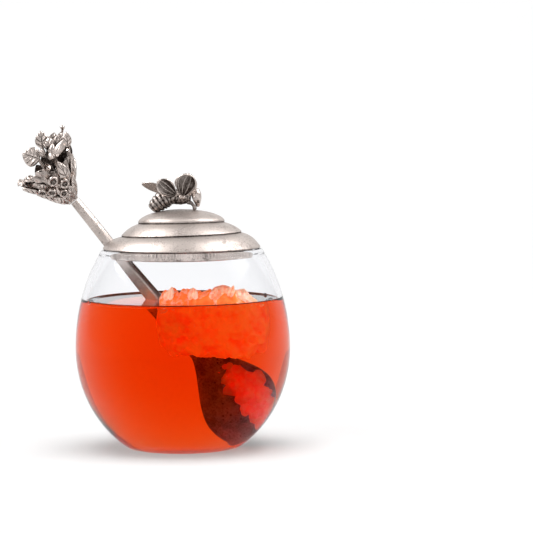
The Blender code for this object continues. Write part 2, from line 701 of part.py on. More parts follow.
def build_calyx(pewter, parent):
    """Fluted calyx that flares from the stem to a rim of lobes, hollow down to its floor."""
    turns = [2.0 * math.pi * k / (4 * CALYX_LOBES) for k in range(4 * CALYX_LOBES)]
    floor_share = CALYX_FLOOR / CALYX_LENGTH
    outer = [[calyx_point(share, turn) for turn in turns] for share in (0.0, 0.2, 0.4, 0.6, 0.8, 1.0)]
    inset = CALYX_WALL * math.sqrt(2.0)
    inner_shares = np.linspace(1.0, floor_share, 5)
    inner = [[calyx_point(share, turn, inset) for turn in turns] for share in inner_shares]
    return lofted("calyx", outer + inner, pewter, parent)


def build_buds(pewter, parent):
    """Five open buds on the calyx's front, each a small cup that stands off its face."""
    for name, across, along, radius in BUDS:
        share = along / CALYX_LENGTH
        reach = CALYX_THROAT_RADIUS + (CALYX_MOUTH_RADIUS - CALYX_THROAT_RADIUS) * share ** CALYX_FLARE
        turn = -math.acos(max(min(across / reach, 1.0), -1.0))
        normal = calyx_normal(share, turn)
        seat = calyx_point(share, turn) + normal * (2 * GAP)
        profile = [
            (0.0, BUD_HEIGHT / 2),
            (radius - 2 * BUD_WALL, BUD_HEIGHT * 0.6),
            (radius - BUD_WALL, BUD_HEIGHT),
            (radius, BUD_HEIGHT),
            (radius, BUD_HEIGHT * 0.6),
            (radius * 0.62, BUD_HEIGHT * 0.12),
            (radius * 0.4, 0.0),
            (0.0, 0.0),
        ]
        matrix = normal.to_track_quat("Z", "X").to_matrix().to_4x4()
        matrix.translation = seat
        bud = turned(name, profile, pewter, parent, 10)
        bud.matrix_local = matrix


def build_posy(pewter, parent):
    """Leaves, blossom, closed bud and seed stalk that stand in the calyx's mouth, and one on its front."""
    floor = CALYX_FLOOR + 2 * GAP
    for name, (x, y), neck, tip, width in STALK_LEAVES:
        halfway = ((x + neck[0]) / 2, y, (floor + neck[2]) / 2)
        rod = rod_rings(((x, y, floor), halfway, neck), STALK_RADIUS, 10)
        blade = blade_rings(neck, tip, (0.15, -1.0, 0.25), width, LEAF_THICKNESS, 0.2, LEAF_THICKNESS)
        lofted(name, rod[:-1] + blade, pewter, parent)
    build_blossom(pewter, parent, floor)
    build_rim_pieces(pewter, parent)


def build_blossom(pewter, parent, floor):
    """A blossom cup and a closed bud, each on its own stalk from the calyx's floor."""
    profile = [(radius, height - floor) for radius, height in BLOSSOM_CUP]
    profile += [(STALK_RADIUS, 0.0), (0.0, 0.0)]
    blossom = turned("blossom", profile, pewter, parent, 12)
    matrix = Vector(BLOSSOM_LEAN).to_track_quat("Z", "X").to_matrix().to_4x4()
    matrix.translation = Vector((*BLOSSOM_FOOT, floor))
    blossom.matrix_local = matrix
    places = [place[:3] for place in BUD_STALK]
    sizes = [place[3] for place in BUD_STALK]
    lofted("closed_bud", rod_rings(places, sizes, 10), pewter, parent)


def build_rim_pieces(pewter, parent):
    """A small leaf and a seed stalk on the rim's right side, a curled leaf at left and a sepal in front."""
    off = LEAF_THICKNESS / 2 + GAP
    base = calyx_point(1.0, 0.0) + Vector((-CALYX_WALL / 2, 0.0, off))
    tip = base + Vector(RIGHT_LEAF_REACH)
    facing = (0.5, -1.0, 0.0)
    rings = blade_rings(base, tip, facing, RIGHT_LEAF_WIDTH, LEAF_THICKNESS, 0.3, LEAF_THICKNESS / 2)
    lofted("leaf_right", rings, pewter, parent)
    turn = 2.0 * math.pi / CALYX_LOBES
    inward = Vector((-math.cos(turn), -math.sin(turn), 0.0)) * CALYX_WALL / 2
    foot = calyx_point(1.0, turn) + inward + Vector((0.0, 0.0, GAP + STALK_RADIUS / 2))
    places = [foot] + [place[:3] for place in SEED_STALK]
    sizes = [STALK_RADIUS] + [place[3] for place in SEED_STALK]
    lofted("seed_stalk", rod_rings(places, sizes, 8), pewter, parent)
    turn = math.pi + math.pi / CALYX_LOBES
    base = calyx_point(1.0, turn) + Vector((0.0, 0.0, off + GAP))
    tip = base + Vector(CURLED_LEAF_REACH)
    facing = (0.2, -0.35, 1.0)
    rings = blade_rings(base, tip, facing, CURLED_LEAF_WIDTH, LEAF_THICKNESS, 0.6, LEAF_THICKNESS / 2)
    lofted("leaf_curled", rings, pewter, parent)
    low_share, middle_share, high_share = SEPAL_SHARES
    low = calyx_point(low_share, SEPAL_TURN) + calyx_normal(low_share, SEPAL_TURN) * (off + GAP)
    high = calyx_point(high_share, SEPAL_TURN) + calyx_normal(high_share, SEPAL_TURN) * (off + 2 * GAP)
    facing = calyx_normal(middle_share, SEPAL_TURN)
    rings = blade_rings(low, high, facing, SEPAL_WIDTH, LEAF_THICKNESS, 0.35, GAP, 0.8)
    lofted("sepal_front", rings, pewter, parent)


def build_pot():
    """The whole pot: bowl with its contents, lid with its bee, and spoon with its posy."""
    clear_scene()
    glass = finish("clear_glass", (0.90, 0.93, 0.94), 0.02, transmission=1.0)
    honey = finish("honey", (0.86, 0.20, 0.02), 0.06, transmission=0.6)
    wax = finish("comb_wax", (0.93, 0.50, 0.16), 0.35)
    pewter = finish("antique_pewter", (0.56, 0.53, 0.50), 0.34, metallic=1.0)
    lid_axis = axis_empty("lid_axis", Matrix.Translation((0.0, 0.0, LID_BASE)))
    spoon_axis = axis_empty("spoon_axis", spoon_frame())
    notch = build_notch_cutter(spoon_axis)
    build_glass_bowl(glass)
    build_honeycomb(wax)
    comb_cutter = mark_cutter(comb_slab("comb_cutter", GAP, None))
    top = STEM_ABOVE_LIP + GAP
    spoon_cutter = mark_cutter(lofted("spoon_cutter", spoon_rings(GAP, top), None, spoon_axis))
    build_honey(honey, (comb_cutter, spoon_cutter))
    build_lid_dome(pewter, lid_axis, notch)
    build_lid_collar(pewter, lid_axis, notch)
    bee_seat = axis_empty("bee_seat", Matrix.Translation((0.0, 0.0, LID_RISE)), lid_axis)
    build_bee(pewter, bee_seat)
    build_spoon(pewter, spoon_axis)
    middle = stem_width(STEM_ABOVE_LIP) / 2 - STEM_LIP_WIDTH / 2
    seat = Matrix.Translation((middle, 0.0, STEM_ABOVE_LIP + GAP))
    posy_axis = axis_empty("posy_axis", seat @ Matrix.Rotation(-POSY_TILT, 4, "Y"), spoon_axis)
    build_calyx(pewter, posy_axis)
    build_buds(pewter, posy_axis)
    build_posy(pewter, posy_axis)


build_pot()
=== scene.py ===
"""Covered honey pot: turned glass, honey with comb, an antiqued pewter lid with a bee, and a posy spoon."""
import json
import math
from functools import partial

import bmesh
import bpy
import numpy as np
from bpy.props import FloatProperty, FloatVectorProperty, IntProperty, PointerProperty
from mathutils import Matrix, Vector


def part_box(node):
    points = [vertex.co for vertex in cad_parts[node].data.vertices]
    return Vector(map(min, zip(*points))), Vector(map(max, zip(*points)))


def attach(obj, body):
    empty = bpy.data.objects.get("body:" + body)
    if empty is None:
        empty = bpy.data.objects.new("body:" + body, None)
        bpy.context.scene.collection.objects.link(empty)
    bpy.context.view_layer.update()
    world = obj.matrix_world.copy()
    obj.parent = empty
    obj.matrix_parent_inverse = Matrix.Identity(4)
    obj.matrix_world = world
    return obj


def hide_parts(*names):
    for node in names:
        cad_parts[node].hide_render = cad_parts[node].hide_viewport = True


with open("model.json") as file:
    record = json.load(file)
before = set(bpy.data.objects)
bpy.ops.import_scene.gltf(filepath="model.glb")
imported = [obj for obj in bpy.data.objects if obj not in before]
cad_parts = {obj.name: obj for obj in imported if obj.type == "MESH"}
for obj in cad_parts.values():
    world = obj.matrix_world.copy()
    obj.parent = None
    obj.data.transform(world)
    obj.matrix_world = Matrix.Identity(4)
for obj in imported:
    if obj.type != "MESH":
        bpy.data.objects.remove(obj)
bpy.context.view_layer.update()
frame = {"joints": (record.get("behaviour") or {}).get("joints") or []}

bl_info = {
    "name": "Honey Pot",
    "version": (1, 0, 0),
    "blender": (4, 5, 0),
    "location": "View3D > Sidebar > Honey Pot",
    "description": "Builds a covered glass honey pot with a pewter lid, a bee and a posy spoon",
    "category": "Object",
}

MM = 0.001
GLASS_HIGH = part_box("glass_bowl")[1]
HONEY_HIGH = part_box("honey")[1]
COMB_LOW, COMB_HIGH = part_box("honeycomb")
LID_LOW, LID_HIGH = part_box("lid_dome")

# Spoon's axes in the pot's frame: along its stem, in towards the pot's axis, and back; it crosses the rim's plane
# at a named place and draws out along its stem as far as its joint allows
SPOON_ALONG = np.array((-0.6067978, 0.0264934, 0.7944146))
SPOON_INWARD = np.array((0.7936598, -0.0346520, 0.6073758))
SPOON_BACK = np.cross(SPOON_ALONG, SPOON_INWARD)
SPOON_CROSSING = np.array((-0.0345470, 0.0015084, 0.1007000))
SPOON_DRAW = next(joint["range_m"][1] for joint in frame["joints"] if joint["name"] == "spoon_draw")

# Places along the stem, its width there, and how far its straight outer edge lies from the spoon's line
STEM_PLACES = (-0.033, 0.0, 0.016, 0.0305)
STEM_WIDTHS = (0.0077, 0.0058, 0.0056, 0.0050)
STEM_EDGE = 0.0028

# Notch for the stem: play beside it, outer end, half width and half length
NOTCH_PLAY, NOTCH_OUT, NOTCH_HALF, NOTCH_REACH = 0.0004, -0.0155, 0.00285, 0.034

# Round between floor and wall, as its rise and its inset, and the rises of the lip's two sides
ROUND_INSIDE, ROUND_OUTSIDE = (0.003, 0.006), (0.0016, 0.004)
LIP_INSIDE, LIP_OUTSIDE, LIP_CREST = 0.001, 0.002, 0.0007
HONEY_OVERLAP = 0.00006

# Edges of the lid's three tiers, as shares of its radius and of its rise, and the swell of the lower two
TIER_RADII, TIER_HEIGHTS = (1.0, 0.762, 0.549), (0.031, 0.388, 0.684)
TIER_SWELLS = ((1, 0.0006), (0, 0.0011))
DOME_POWER, HOLLOW_POWER, HOLLOW_ROWS, CROWN_WALL = 1.85, 1.43, 30, 0.002

# Top of the comb: share along it and share of its rise above the honey
COMB_RISE, CELL_DEPTH, CELL_PITCH = 0.0066, 0.0013, 0.0064
COMB_TOP = (
    (0.00, 0.70), (0.05, 1.00), (0.14, 0.78), (0.24, 0.84), (0.33, 0.98), (0.42, 0.72), (0.50, 0.94),
    (0.58, 0.66), (0.67, 1.00), (0.76, 0.90), (0.82, 0.48), (0.92, 0.40), (1.00, 0.24),
)

# Pewter of each part: patina, fineness and share of the pits, relief, roughness where polished, and tone
PEWTER = {
    "lid_pewter": (0.60, 1300.0, 0.34, 0.60, 0.42, 0.80),
    "collar_pewter": (0.90, 900.0, 0.50, 0.12, 0.30, 1.10),
    "spoon_pewter": (0.36, 800.0, 0.13, 0.25, 0.34, 0.84),
    "bee_pewter": (0.30, 1500.0, 0.18, 0.20, 0.20, 1.00),
    "posy_pewter": (0.34, 1500.0, 0.20, 0.22, 0.20, 1.00),
}

# Posy: lean on the stem, place of its throat in the spoon's axes, height in millimetres where the stalks start,
# and the power by which the cup flares
POSY_TILT, POSY_SEAT, POSY_FLOOR = math.radians(-1.7), (-0.0009, 0.0, 0.0308), 9.1
FLARE_POWER = 1.15

# Lamps: name, place, width and height, power, and whether shiny, matt and see-through surfaces see it
LAMPS = (
    ("overhead", (0.0, -0.05, 1.5), (1.1, 1.1), 24.0, (False, True, True)),
    ("window_left", (-0.80, 0.05, 1.0), (0.7, 0.9), 17.0, (True, False, True)),
    ("window_right", (0.80, 0.05, 1.0), (0.7, 0.9), 14.0, (True, False, True)),
    ("window_front", (-0.9, -0.8, 0.9), (0.8, 0.8), 4.0, (True, True, True)),
    ("window_low", (0.36, -1.2, 0.29), (0.22, 0.5), 1.3, (True, False, False)),
)


def length(name, default, description):
    """A property for a length in metres."""
    return FloatProperty(name=name, description=description, default=default, unit="LENGTH", precision=5)


def share(name, default, description):
    """A property for a share from nothing up."""
    return FloatProperty(name=name, description=description, default=default, min=0.0, max=4.0, subtype="FACTOR")


def count(name, default, description):
    """A property for a whole number of steps or parts."""
    return IntProperty(name=name, description=description, default=default, min=3, subtype="UNSIGNED")


def colour(name, default, description):
    """A property for a linear colour."""
    return FloatVectorProperty(
        name=name, description=description, default=default, size=3, min=0.0, max=1.0, subtype="COLOR"
    )


class BowlSizes(bpy.types.PropertyGroup):
    """Sizes of the glass bowl and of the honey in it."""
    radius: length("Radius", GLASS_HIGH.x, "Largest outer radius of the bowl")
    equator: length("Widest height", 0.0504, "Height of the widest ring above the table")
    shoulder: length("Shoulder", 0.0500, "Height from the widest ring to the lip")
    crown_cut: length("Crown cut", 0.0247, "Height that the mouth cuts off the upper half ellipse")
    foot_cut: length("Foot cut", 0.0081, "Height that the foot cuts off the lower half ellipse")
    wall: length("Wall", 0.0025, "Thickness of the glass wall")
    floor: length("Floor", 0.0032, "Thickness of the glass floor")
    honey_level: length("Honey level", HONEY_HIGH.z, "Height of the honey's surface")
    meniscus: length("Meniscus", 0.0005, "Rise of the honey where it clings to the wall")
    columns: count("Columns", 160, "Steps round the bowl")


class LidSizes(bpy.types.PropertyGroup):
    """Sizes of the lid and its collar."""
    radius: length("Radius", 0.03952, "Radius of the lid's rim")
    rise: length("Rise", 0.0196, "Height of the lid above its rim")
    groove: length("Groove", 0.00045, "Depth of the groove under each tier")
    lean: share("Lean of the tiers", 0.020, "Slope of the tiers' edges")
    collar_radius: length("Collar radius", 0.03562, "Outer radius of the collar")
    hollow_radius: length("Hollow radius", 0.03412, "Radius of the hollow under the lid")
    collar_depth: length("Collar depth", 0.0048, "Depth of the collar below the rim")
    columns: count("Columns", 180, "Steps round the lid")


class SpoonSizes(bpy.types.PropertyGroup):
    """Sizes of the spoon."""
    reach: length("Reach", 0.112836, "Length below the rim, down to the tip")
    above: length("Above the rim", 0.0305, "Length above the rim, up to the posy")
    bowl_length: length("Bowl length", 0.0470, "Length of the spoon's bowl")
    bowl_width: length("Bowl width", 0.0310, "Width of the spoon's bowl")
    bowl_depth: length("Bowl depth", 0.0075, "Depth of the spoon's bowl")
    bowl_wall: length("Bowl wall", 0.0015, "Thickness of the spoon's bowl")
    stem_depth: length("Stem depth", 0.0045, "Thickness of the stem from front to back")


class PosySizes(bpy.types.PropertyGroup):
    """Sizes of the posy on top of the stem."""
    calyx_length: length("Calyx length", 0.0205, "Length of the flared cup")
    mouth_radius: length("Mouth radius", 0.0148, "Radius of the cup's rim")
    throat_radius: length("Throat radius", 0.0028, "Radius of the cup where it meets the stem")
    calyx_wall: length("Wall", 0.0012, "Thickness of the cup")
    lobes: count("Lobes", 7, "Lobes round the rim")
    leaf_thickness: length("Leaf thickness", 0.0009, "Thickness of leaves and petals")


class Finishes(bpy.types.PropertyGroup):
    """Colours of the finishes."""
    pewter_bright: colour("Bright pewter", (0.600, 0.525, 0.485), "Pewter on the high places")
    # The dark pewter is also the colour of the painted shade that some pieces carry in their recess values.
    pewter_dark: colour("Dark pewter", (0.030, 0.021, 0.017), "Patina in the recesses")
    honey_tint: colour("Honey", (0.981, 0.588, 0.02), "Light that the honey lets through")
    honey_density: FloatProperty(
        name="Honey density", description="How fast the honey takes up light", default=84.0, min=0.0
    )
    # Both wax colours also colour the wax's painted glow.
    comb_light: colour("Light wax", (1.0, 0.28, 0.040), "Pale places of the comb")
    comb_deep: colour("Soaked wax", (1.0, 0.115, 0.008), "Honey-soaked places of the comb")
    floor_white: colour("Floor", (0.86, 0.86, 0.86), "Paper that the pot stands on")


class StageSettings(bpy.types.PropertyGroup):
    """Camera and floor."""
    camera_distance: length("Camera distance", 1.394, "Distance of the camera from the pot's axis")
    camera_height: length("Camera height", 0.190, "Height of the camera above the table")
    frame_width: length("Frame width", 0.2678, "Width that the picture shows at the pot's axis")
    centre_across: length("Centre across", 0.0425, "Place of the picture's centre to the right of the axis")
    centre_height: length("Centre height", 0.0910, "Height of the picture's centre")
    roll: FloatProperty(
        name="Roll", description="Turn of the camera about its view", default=math.radians(0.6), subtype="ANGLE"
    )
    glow: share("Glow", 1.06, "Strength of the paper's own white in the picture")


def mm(*values):
    """Millimetres as an array in metres."""
    return np.array(values, float) * MM


def arc(start, stop, steps):
    """Even places from start to stop."""
    return np.linspace(start, stop, steps)


def full_turn(columns):
    """Even angles round a circle, the last one step short of the first."""
    return arc(0.0, 2.0 * math.pi, columns + 1)[:-1]


def capped(values):
    """Values held between 0 and 1."""
    return np.clip(values, 0.0, 1.0)


def smooth_step(x, low, high):
    """0 below low, 1 above high and a smooth S between them."""
    t = capped((x - low) / (high - low))
    return t * t * (3.0 - 2.0 * t)


def ripple(points, scale, seed=0.0):
    """Smooth bumps from -1 to 1: random values on a lattice, blended between its eight nearest corners."""
    place = np.asarray(points, float) * scale * 0.45 + seed * 17.3
    cell = np.floor(place)
    part = place - cell
    part = part * part * (3.0 - 2.0 * part)
    total = 0.0
    for corner in np.ndindex(2, 2, 2):
        value = np.sin((cell + corner) @ np.array((127.1, 311.7, 74.7))) * 43758.5453
        weight = np.where(np.array(corner) == 1, part, 1.0 - part).prod(axis=-1)
        total = total + weight * (value - np.floor(value))
    return 2.0 * total - 1.0


def skin(shells):
    """Points, faces and recess values of closed skins, each over rings of shape (rows, columns, 3).

    Quads join neighbouring rings, and a fan to the ring's middle closes the first and the last ring.
    """
    points, faces, patina_and_shade, first = [], [], [], 0
    for rings, recess in shells:
        rows, columns, _ = rings.shape
        index = first + np.arange(rows * columns).reshape(rows, columns)
        right = np.roll(index, -1, axis=1)
        low = first + rows * columns
        quads = np.stack([index[:-1], right[:-1], right[1:], index[1:]], axis=-1).reshape(-1, 4)
        fan_low = np.stack([right[0], index[0], np.full(columns, low)], axis=-1)
        fan_high = np.stack([index[-1], right[-1], np.full(columns, low + 1)], axis=-1)
        faces += quads.tolist() + fan_low.tolist() + fan_high.tolist()
        recess = np.broadcast_to(recess, (rows, columns))
        points.append(np.vstack([rings.reshape(-1, 3), rings[0].mean(0), rings[-1].mean(0)]))
        patina_and_shade.append(np.concatenate([recess.ravel(), [recess[0].mean(), recess[-1].mean()]]))
        first = low + 2
    return np.vstack(points), faces, np.concatenate(patina_and_shade)


def ring_skin(rings, recess):
    """Points, faces and recess values of a closed ring whose last section is its first: quads between sections."""
    rows, columns = len(rings) - 1, rings.shape[1]
    index = np.arange(rows * columns).reshape(rows, columns)
    right, below = np.roll(index, -1, axis=1), np.roll(index, -1, axis=0)
    corner = np.roll(right, -1, axis=0)
    faces = np.stack([index, right, corner, below], axis=-1).reshape(-1, 4).tolist()
    return rings[:-1].reshape(-1, 3), faces, recess[:-1].ravel()


def facing_mesh(name, points, faces):
    """A mesh whose faces all look outwards."""
    mesh = bpy.data.meshes.new(name)
    mesh.from_pydata(points.tolist(), [], faces)
    shape = bmesh.new()
    shape.from_mesh(mesh)
    bmesh.ops.recalc_face_normals(shape, faces=shape.faces)
    shape.to_mesh(mesh)
    shape.free()
    return mesh


def put(name, data):
    """A new object in the scene."""
    thing = bpy.data.objects.new(name, data)
    bpy.context.collection.objects.link(thing)
    return thing


def add_piece(name, surface, material, body, nodes=(), sharp=None):
    """A finished piece on its body, in the place of the nodes it stands for, with its recess values."""
    points, faces, patina_and_shade = surface
    mesh = facing_mesh(name, points, faces)
    # The recess attribute darkens the finish: patina in the hollows and, on some pieces, painted shade.
    mesh.attributes.new("recess", "FLOAT", "POINT").data.foreach_set("value", patina_and_shade.astype(np.float32))
    mesh.shade_smooth()
    if sharp:
        mesh.set_sharp_from_angle(angle=math.radians(sharp))
    mesh.materials.append(material)
    piece = put(name, mesh)
    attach(piece, body)
    if nodes:
        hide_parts(*nodes)
    return piece


def cast(name, shells, metal, body, *nodes, sharp=None):
    """A pewter piece from closed skins."""
    return add_piece(name, skin(shells), metal, body, nodes, sharp)


def carve(piece, cutter):
    """Take a cutter's volume out of a piece for good."""
    modifier = piece.modifiers.new("Carve", "BOOLEAN")
    modifier.operation = "DIFFERENCE"
    modifier.solver = "EXACT"
    modifier.object = cutter
    evaluated = piece.evaluated_get(bpy.context.evaluated_depsgraph_get())
    mesh = bpy.data.meshes.new_from_object(evaluated)
    piece.modifiers.remove(modifier)
    piece.data = mesh
    mesh.set_sharp_from_angle(angle=math.radians(38.0))


def turned_rings(profile, columns):
    """Rings of a turned surface: at (r, z) of the profile and turn a, the point (r cos a, r sin a, z)."""
    turn = full_turn(columns)
    radius, height = np.asarray(profile).T[:, :, None]
    return np.stack([radius * np.cos(turn), radius * np.sin(turn), height + 0.0 * turn], axis=-1)


def round_corner(start, corner, end, steps=8):
    """A turn between two (r, z) points, drawn towards the corner: (1-t)^2 start + 2t(1-t) corner + t^2 end."""
    t = arc(0.0, 1.0, steps)[:, None]
    return (1 - t) ** 2 * np.array(start) + 2 * t * (1 - t) * np.array(corner) + t ** 2 * np.array(end)


def smooth_path(points, steps):
    """A smooth path through points at even parameters: cubic between neighbours, with even tangents."""
    path = np.asarray(points, float)
    last = len(path) - 1
    place = arc(0.0, 1.0, steps) * last
    cell = np.clip(np.floor(place).astype(int), 0, last - 1)
    t = (place - cell)[:, None]
    before, start = path[np.maximum(cell - 1, 0)], path[cell]
    end, after = path[cell + 1], path[np.minimum(cell + 2, last)]
    return 0.5 * (
        2 * start + (end - before) * t + (2 * before - 5 * start + 4 * end - after) * t ** 2
        + (3 * start - before - 3 * end + after) * t ** 3
    )


def widths(steps, places, values):
    """Widths in millimetres at named shares along a path, straight between them, in metres."""
    return np.interp(arc(0.0, 1.0, steps), places, mm(*values))


def tube_rings(path, radii, columns, flat=1.0):
    """Rings square to a path: centre(s) + radius(s) (cos a across + flat sin a side).

    Side is the Y axis made square to the path, and across is square to both.
    """
    along = np.gradient(path, axis=0)
    along /= np.linalg.norm(along, axis=1)[:, None]
    side = np.array((0.0, 1.0, 0.0)) - along * along[:, 1:2]
    side /= np.linalg.norm(side, axis=1)[:, None]
    first, second = np.cross(along, side)[:, None, :], side[:, None, :]
    turn = full_turn(columns)[None, :, None]
    radii = np.asarray(radii, float)
    radii = np.broadcast_to(radii[:, None] if radii.ndim == 1 else radii, (len(path), columns))
    return path[:, None, :] + radii[:, :, None] * (first * np.cos(turn) + flat * second * np.sin(turn))


def ball_rings(centre, radius, rows=14, columns=22, scale=(1.0, 1.0, 1.0)):
    """Rings of a ball: centre + radius (cos e cos a, cos e sin a, sin e), scaled on each axis."""
    rise = arc(-math.pi / 2 + 0.08, math.pi / 2 - 0.08, rows)[:, None]
    turn = full_turn(columns)
    unit = np.stack([np.cos(rise) * np.cos(turn), np.cos(rise) * np.sin(turn), np.sin(rise) + 0 * turn], axis=-1)
    return np.array(centre) + radius * unit * np.array(scale)


def lump_rings(centre, size, seed, rows, columns, rough):
    """Rings of a lump: a stretched ball whose radius swells and shrinks by smooth bumps."""
    unit = ball_rings((0.0, 0.0, 0.0), 1.0, rows, columns)
    swell = 1.0 + rough * ripple(unit, 2.3, seed)[..., None] + rough / 3 * ripple(unit, 6.0, seed)[..., None]
    return np.array(centre) + unit * swell * np.array(size)


def leaf_outline(t):
    """Half width along a leaf: sin(pi t^0.8)^0.7, with a narrow foot."""
    return np.maximum(np.sin(math.pi * np.clip(t, 0.012, 0.988) ** 0.8) ** 0.7, 0.08)


def wing_outline(t):
    """Half width along a wing: narrow root that swells to a broad round end, sin(pi t^1.3)^0.62."""
    return np.maximum(np.sin(math.pi * np.clip(t, 0.03, 0.985) ** 1.3) ** 0.62, 0.16)


def veined(t, v, pairs=3.6):
    """Relief of a leaf: smooth flesh with a cut midrib and cut side veins that slant forward to the edge."""
    phase = pairs * (t - 0.30 * np.abs(v)) + 0.25
    side = np.abs(phase - np.floor(phase) - 0.5) / (0.10 + 0.05 * np.abs(v))
    inside = smooth_step(np.abs(v), 0.02, 0.2) * smooth_step(0.97 - np.abs(v), 0.0, 0.2)
    cut = 0.85 * np.exp(-side ** 2) * inside
    midrib = 0.95 * np.exp(-(v / 0.075) ** 2) * smooth_step(0.97 - t, 0.0, 0.2)
    return capped(1.0 - np.maximum(cut, midrib) - 0.15 * np.abs(v))


def wing_relief(t, v, veins=4):
    """Relief of a wing: a raised rim all round and a few thin veins that fan out from the root and bend."""
    rim = smooth_step(np.abs(v), 0.80, 0.93) + smooth_step(t, 0.91, 0.96) + 0.8 * smooth_step(0.12 - t, 0.0, 0.1)
    fan = np.abs(np.sin(math.pi * veins * 0.5 * (v * (1.15 - 0.3 * t) + 0.22 * np.sin(2.6 * t) + 1.0)))
    vein = np.exp(-(fan / 0.24) ** 2) * (0.62 + 0.38 * np.cos(3.0 * t))
    return capped(0.06 + rim + 0.9 * vein + 0.22 * (0.6 - v) * t)


def furrowed(t, v):
    """Relief of a petal: smooth with a shallow furrow along its middle."""
    return 0.95 - 0.55 * np.exp(-(v / 0.22) ** 2) * smooth_step(t, 0.0, 0.3)


def blade_rings(base, tip, facing, width, thickness, relief, steps, outline=leaf_outline,
                bend=0.0, curl=0.0, cup=0.0, height=0.0003):
    """Rings of a thin blade from base to tip, and its recess.

    At share t along and v across from -1 to 1, the middle surface is base + (tip - base) t, plus half width
    times outline(t) v across, plus normal times (bend 4t(1-t) + curl t^2 + cup v^2). The front stands off it
    by half the thickness plus height times relief(t, v), the back by half the thickness.
    """
    base, tip = np.array(base, float), np.array(tip, float)
    along = (tip - base) / np.linalg.norm(tip - base)
    normal = np.array(facing, float) - along * np.dot(along, facing)
    normal /= np.linalg.norm(normal)
    t = arc(0.0, 1.0, steps[0])[:, None]
    v = arc(-1.0, 1.0, steps[1])[None, :]
    half = width / 2 * outline(t)
    middle = base + (tip - base) * t[..., None] + np.cross(along, normal) * (half * v)[..., None]
    middle = middle + normal * (bend * 4 * t * (1 - t) + curl * t * t + cup * v * v)[..., None]
    mould = relief(t + 0 * v, v + 0 * t)
    edge = thickness / 2 * np.sqrt(np.clip(1.05 - v * v, 0.05, 1.0))
    front = middle + normal * (edge + height * mould * capped(1.2 - v ** 8))[..., None]
    back = middle - normal * (edge + 0 * t)[..., None]
    shade = 1.0 - capped(mould)
    return np.concatenate([front, back[:, ::-1]], axis=1), np.concatenate([shade, 0.35 + 0 * shade], axis=1)


def set_inputs(node, **values):
    """Set a node's inputs by name, with underscores for spaces; three numbers make a solid colour."""
    for key, value in values.items():
        socket = node.inputs[key.replace("_", " ")]
        socket.default_value = (*value, 1.0) if socket.type == "RGBA" else value


def add_node(tree, kind, links=(), settings=(), **values):
    """A node with its settings and inputs; links are (input, source socket), settings (name, value)."""
    node = tree.nodes.new(kind)
    for key, value in settings:
        setattr(node, key, value)
    set_inputs(node, **values)
    for key, source in links:
        tree.links.new(source, node.inputs[key])
    return node


def maths(tree, operation, first, second, clamp=False):
    """A Math node's result; first and second are sockets or numbers."""
    node = add_node(tree, "ShaderNodeMath", (), (("operation", operation), ("use_clamp", clamp)))
    for k, value in enumerate((first, second)):
        if isinstance(value, bpy.types.NodeSocket):
            tree.links.new(value, node.inputs[k])
        else:
            node.inputs[k].default_value = value
    return node.outputs[0]


def arithmetic(tree):
    """Adding, taking away and multiplying on a tree."""
    return [partial(maths, tree, operation) for operation in ("ADD", "SUBTRACT", "MULTIPLY")]


def finish_group(name, inputs, build):
    """A shader node group from named inputs to a colour, a roughness and a normal, which build makes."""
    group = bpy.data.node_groups.new(name, "ShaderNodeTree")
    for label, default in inputs:
        kind = "NodeSocketFloat" if isinstance(default, float) else "NodeSocketColor"
        group.interface.new_socket(label, in_out="INPUT", socket_type=kind).default_value = default
    for label, kind in (("Colour", "Color"), ("Roughness", "Float"), ("Normal", "Vector")):
        group.interface.new_socket(label, in_out="OUTPUT", socket_type="NodeSocket" + kind)
    entry = group.nodes.new("NodeGroupInput").outputs
    leave = group.nodes.new("NodeGroupOutput").inputs
    place = add_node(group, "ShaderNodeTexCoord").outputs["Object"]
    depth, tint, rough, surface, distance = build(group, entry, place)
    blend = add_node(group, "ShaderNodeMix", (), (("data_type", "RGBA"),))
    for source, k in ((depth, 0), (entry[tint[0]], 6), (entry[tint[1]], 7)):
        group.links.new(source, blend.inputs[k])
    bump = add_node(
        group, "ShaderNodeBump", (("Height", surface), ("Strength", entry["Relief"])), Distance=distance
    )
    group.links.new(blend.outputs[2], leave["Colour"])
    group.links.new(rough, leave["Roughness"])
    group.links.new(bump.outputs["Normal"], leave["Normal"])
    return group


def antique_group():
    """Cast metal with a rubbed patina: dark where the recess value is high, which is patina in the hollows and, on
    some pieces, painted shade; mottled, finely pitted and scratched.
    """
    def build(group, entry, place):
        add, take, times = arithmetic(group)
        here = ("Vector", place)
        cloud = add_node(group, "ShaderNodeTexNoise", (here,), Scale=120.0, Detail=4.0, Roughness=0.6)
        grain = add_node(group, "ShaderNodeTexNoise", (here,), Scale=1150.0, Detail=3.0, Roughness=0.7)
        pits = add_node(
            group, "ShaderNodeTexVoronoi", (here, ("Scale", entry["Pit Scale"])), (("feature", "F1"),)
        )
        chance = add_node(group, "ShaderNodeSeparateColor", (("Color", pits.outputs["Color"]),)).outputs[0]
        seldom = maths(group, "LESS_THAN", chance, entry["Pit Amount"])
        pit = times(take(0.36, pits.outputs["Distance"], clamp=True), 4.0, clamp=True)
        pit = times(pit, seldom)
        fine = take(grain.outputs["Fac"], 0.5)
        tone = add(times(take(cloud.outputs["Fac"], 0.5), 2.2), times(fine, 2.4))
        depth = add(entry["Recess"], times(tone, entry["Patina"]))
        depth = add(depth, times(pit, 0.55), clamp=True)
        rough = add(times(depth, 0.35), entry["Polish"])
        rough = add(rough, times(fine, 0.25), clamp=True)
        surface = add(take(times(grain.outputs["Fac"], 0.5), pit), times(cloud.outputs["Fac"], 0.8))
        return depth, ("Bright", "Dark"), rough, surface, 0.0004

    return finish_group("Antique Casting", (
        ("Bright", (0.6, 0.6, 0.6, 1.0)), ("Dark", (0.04, 0.03, 0.03, 1.0)), ("Recess", 0.0), ("Patina", 0.3),
        ("Pit Scale", 900.0), ("Pit Amount", 0.3), ("Relief", 0.1), ("Polish", 0.24),
    ), build)


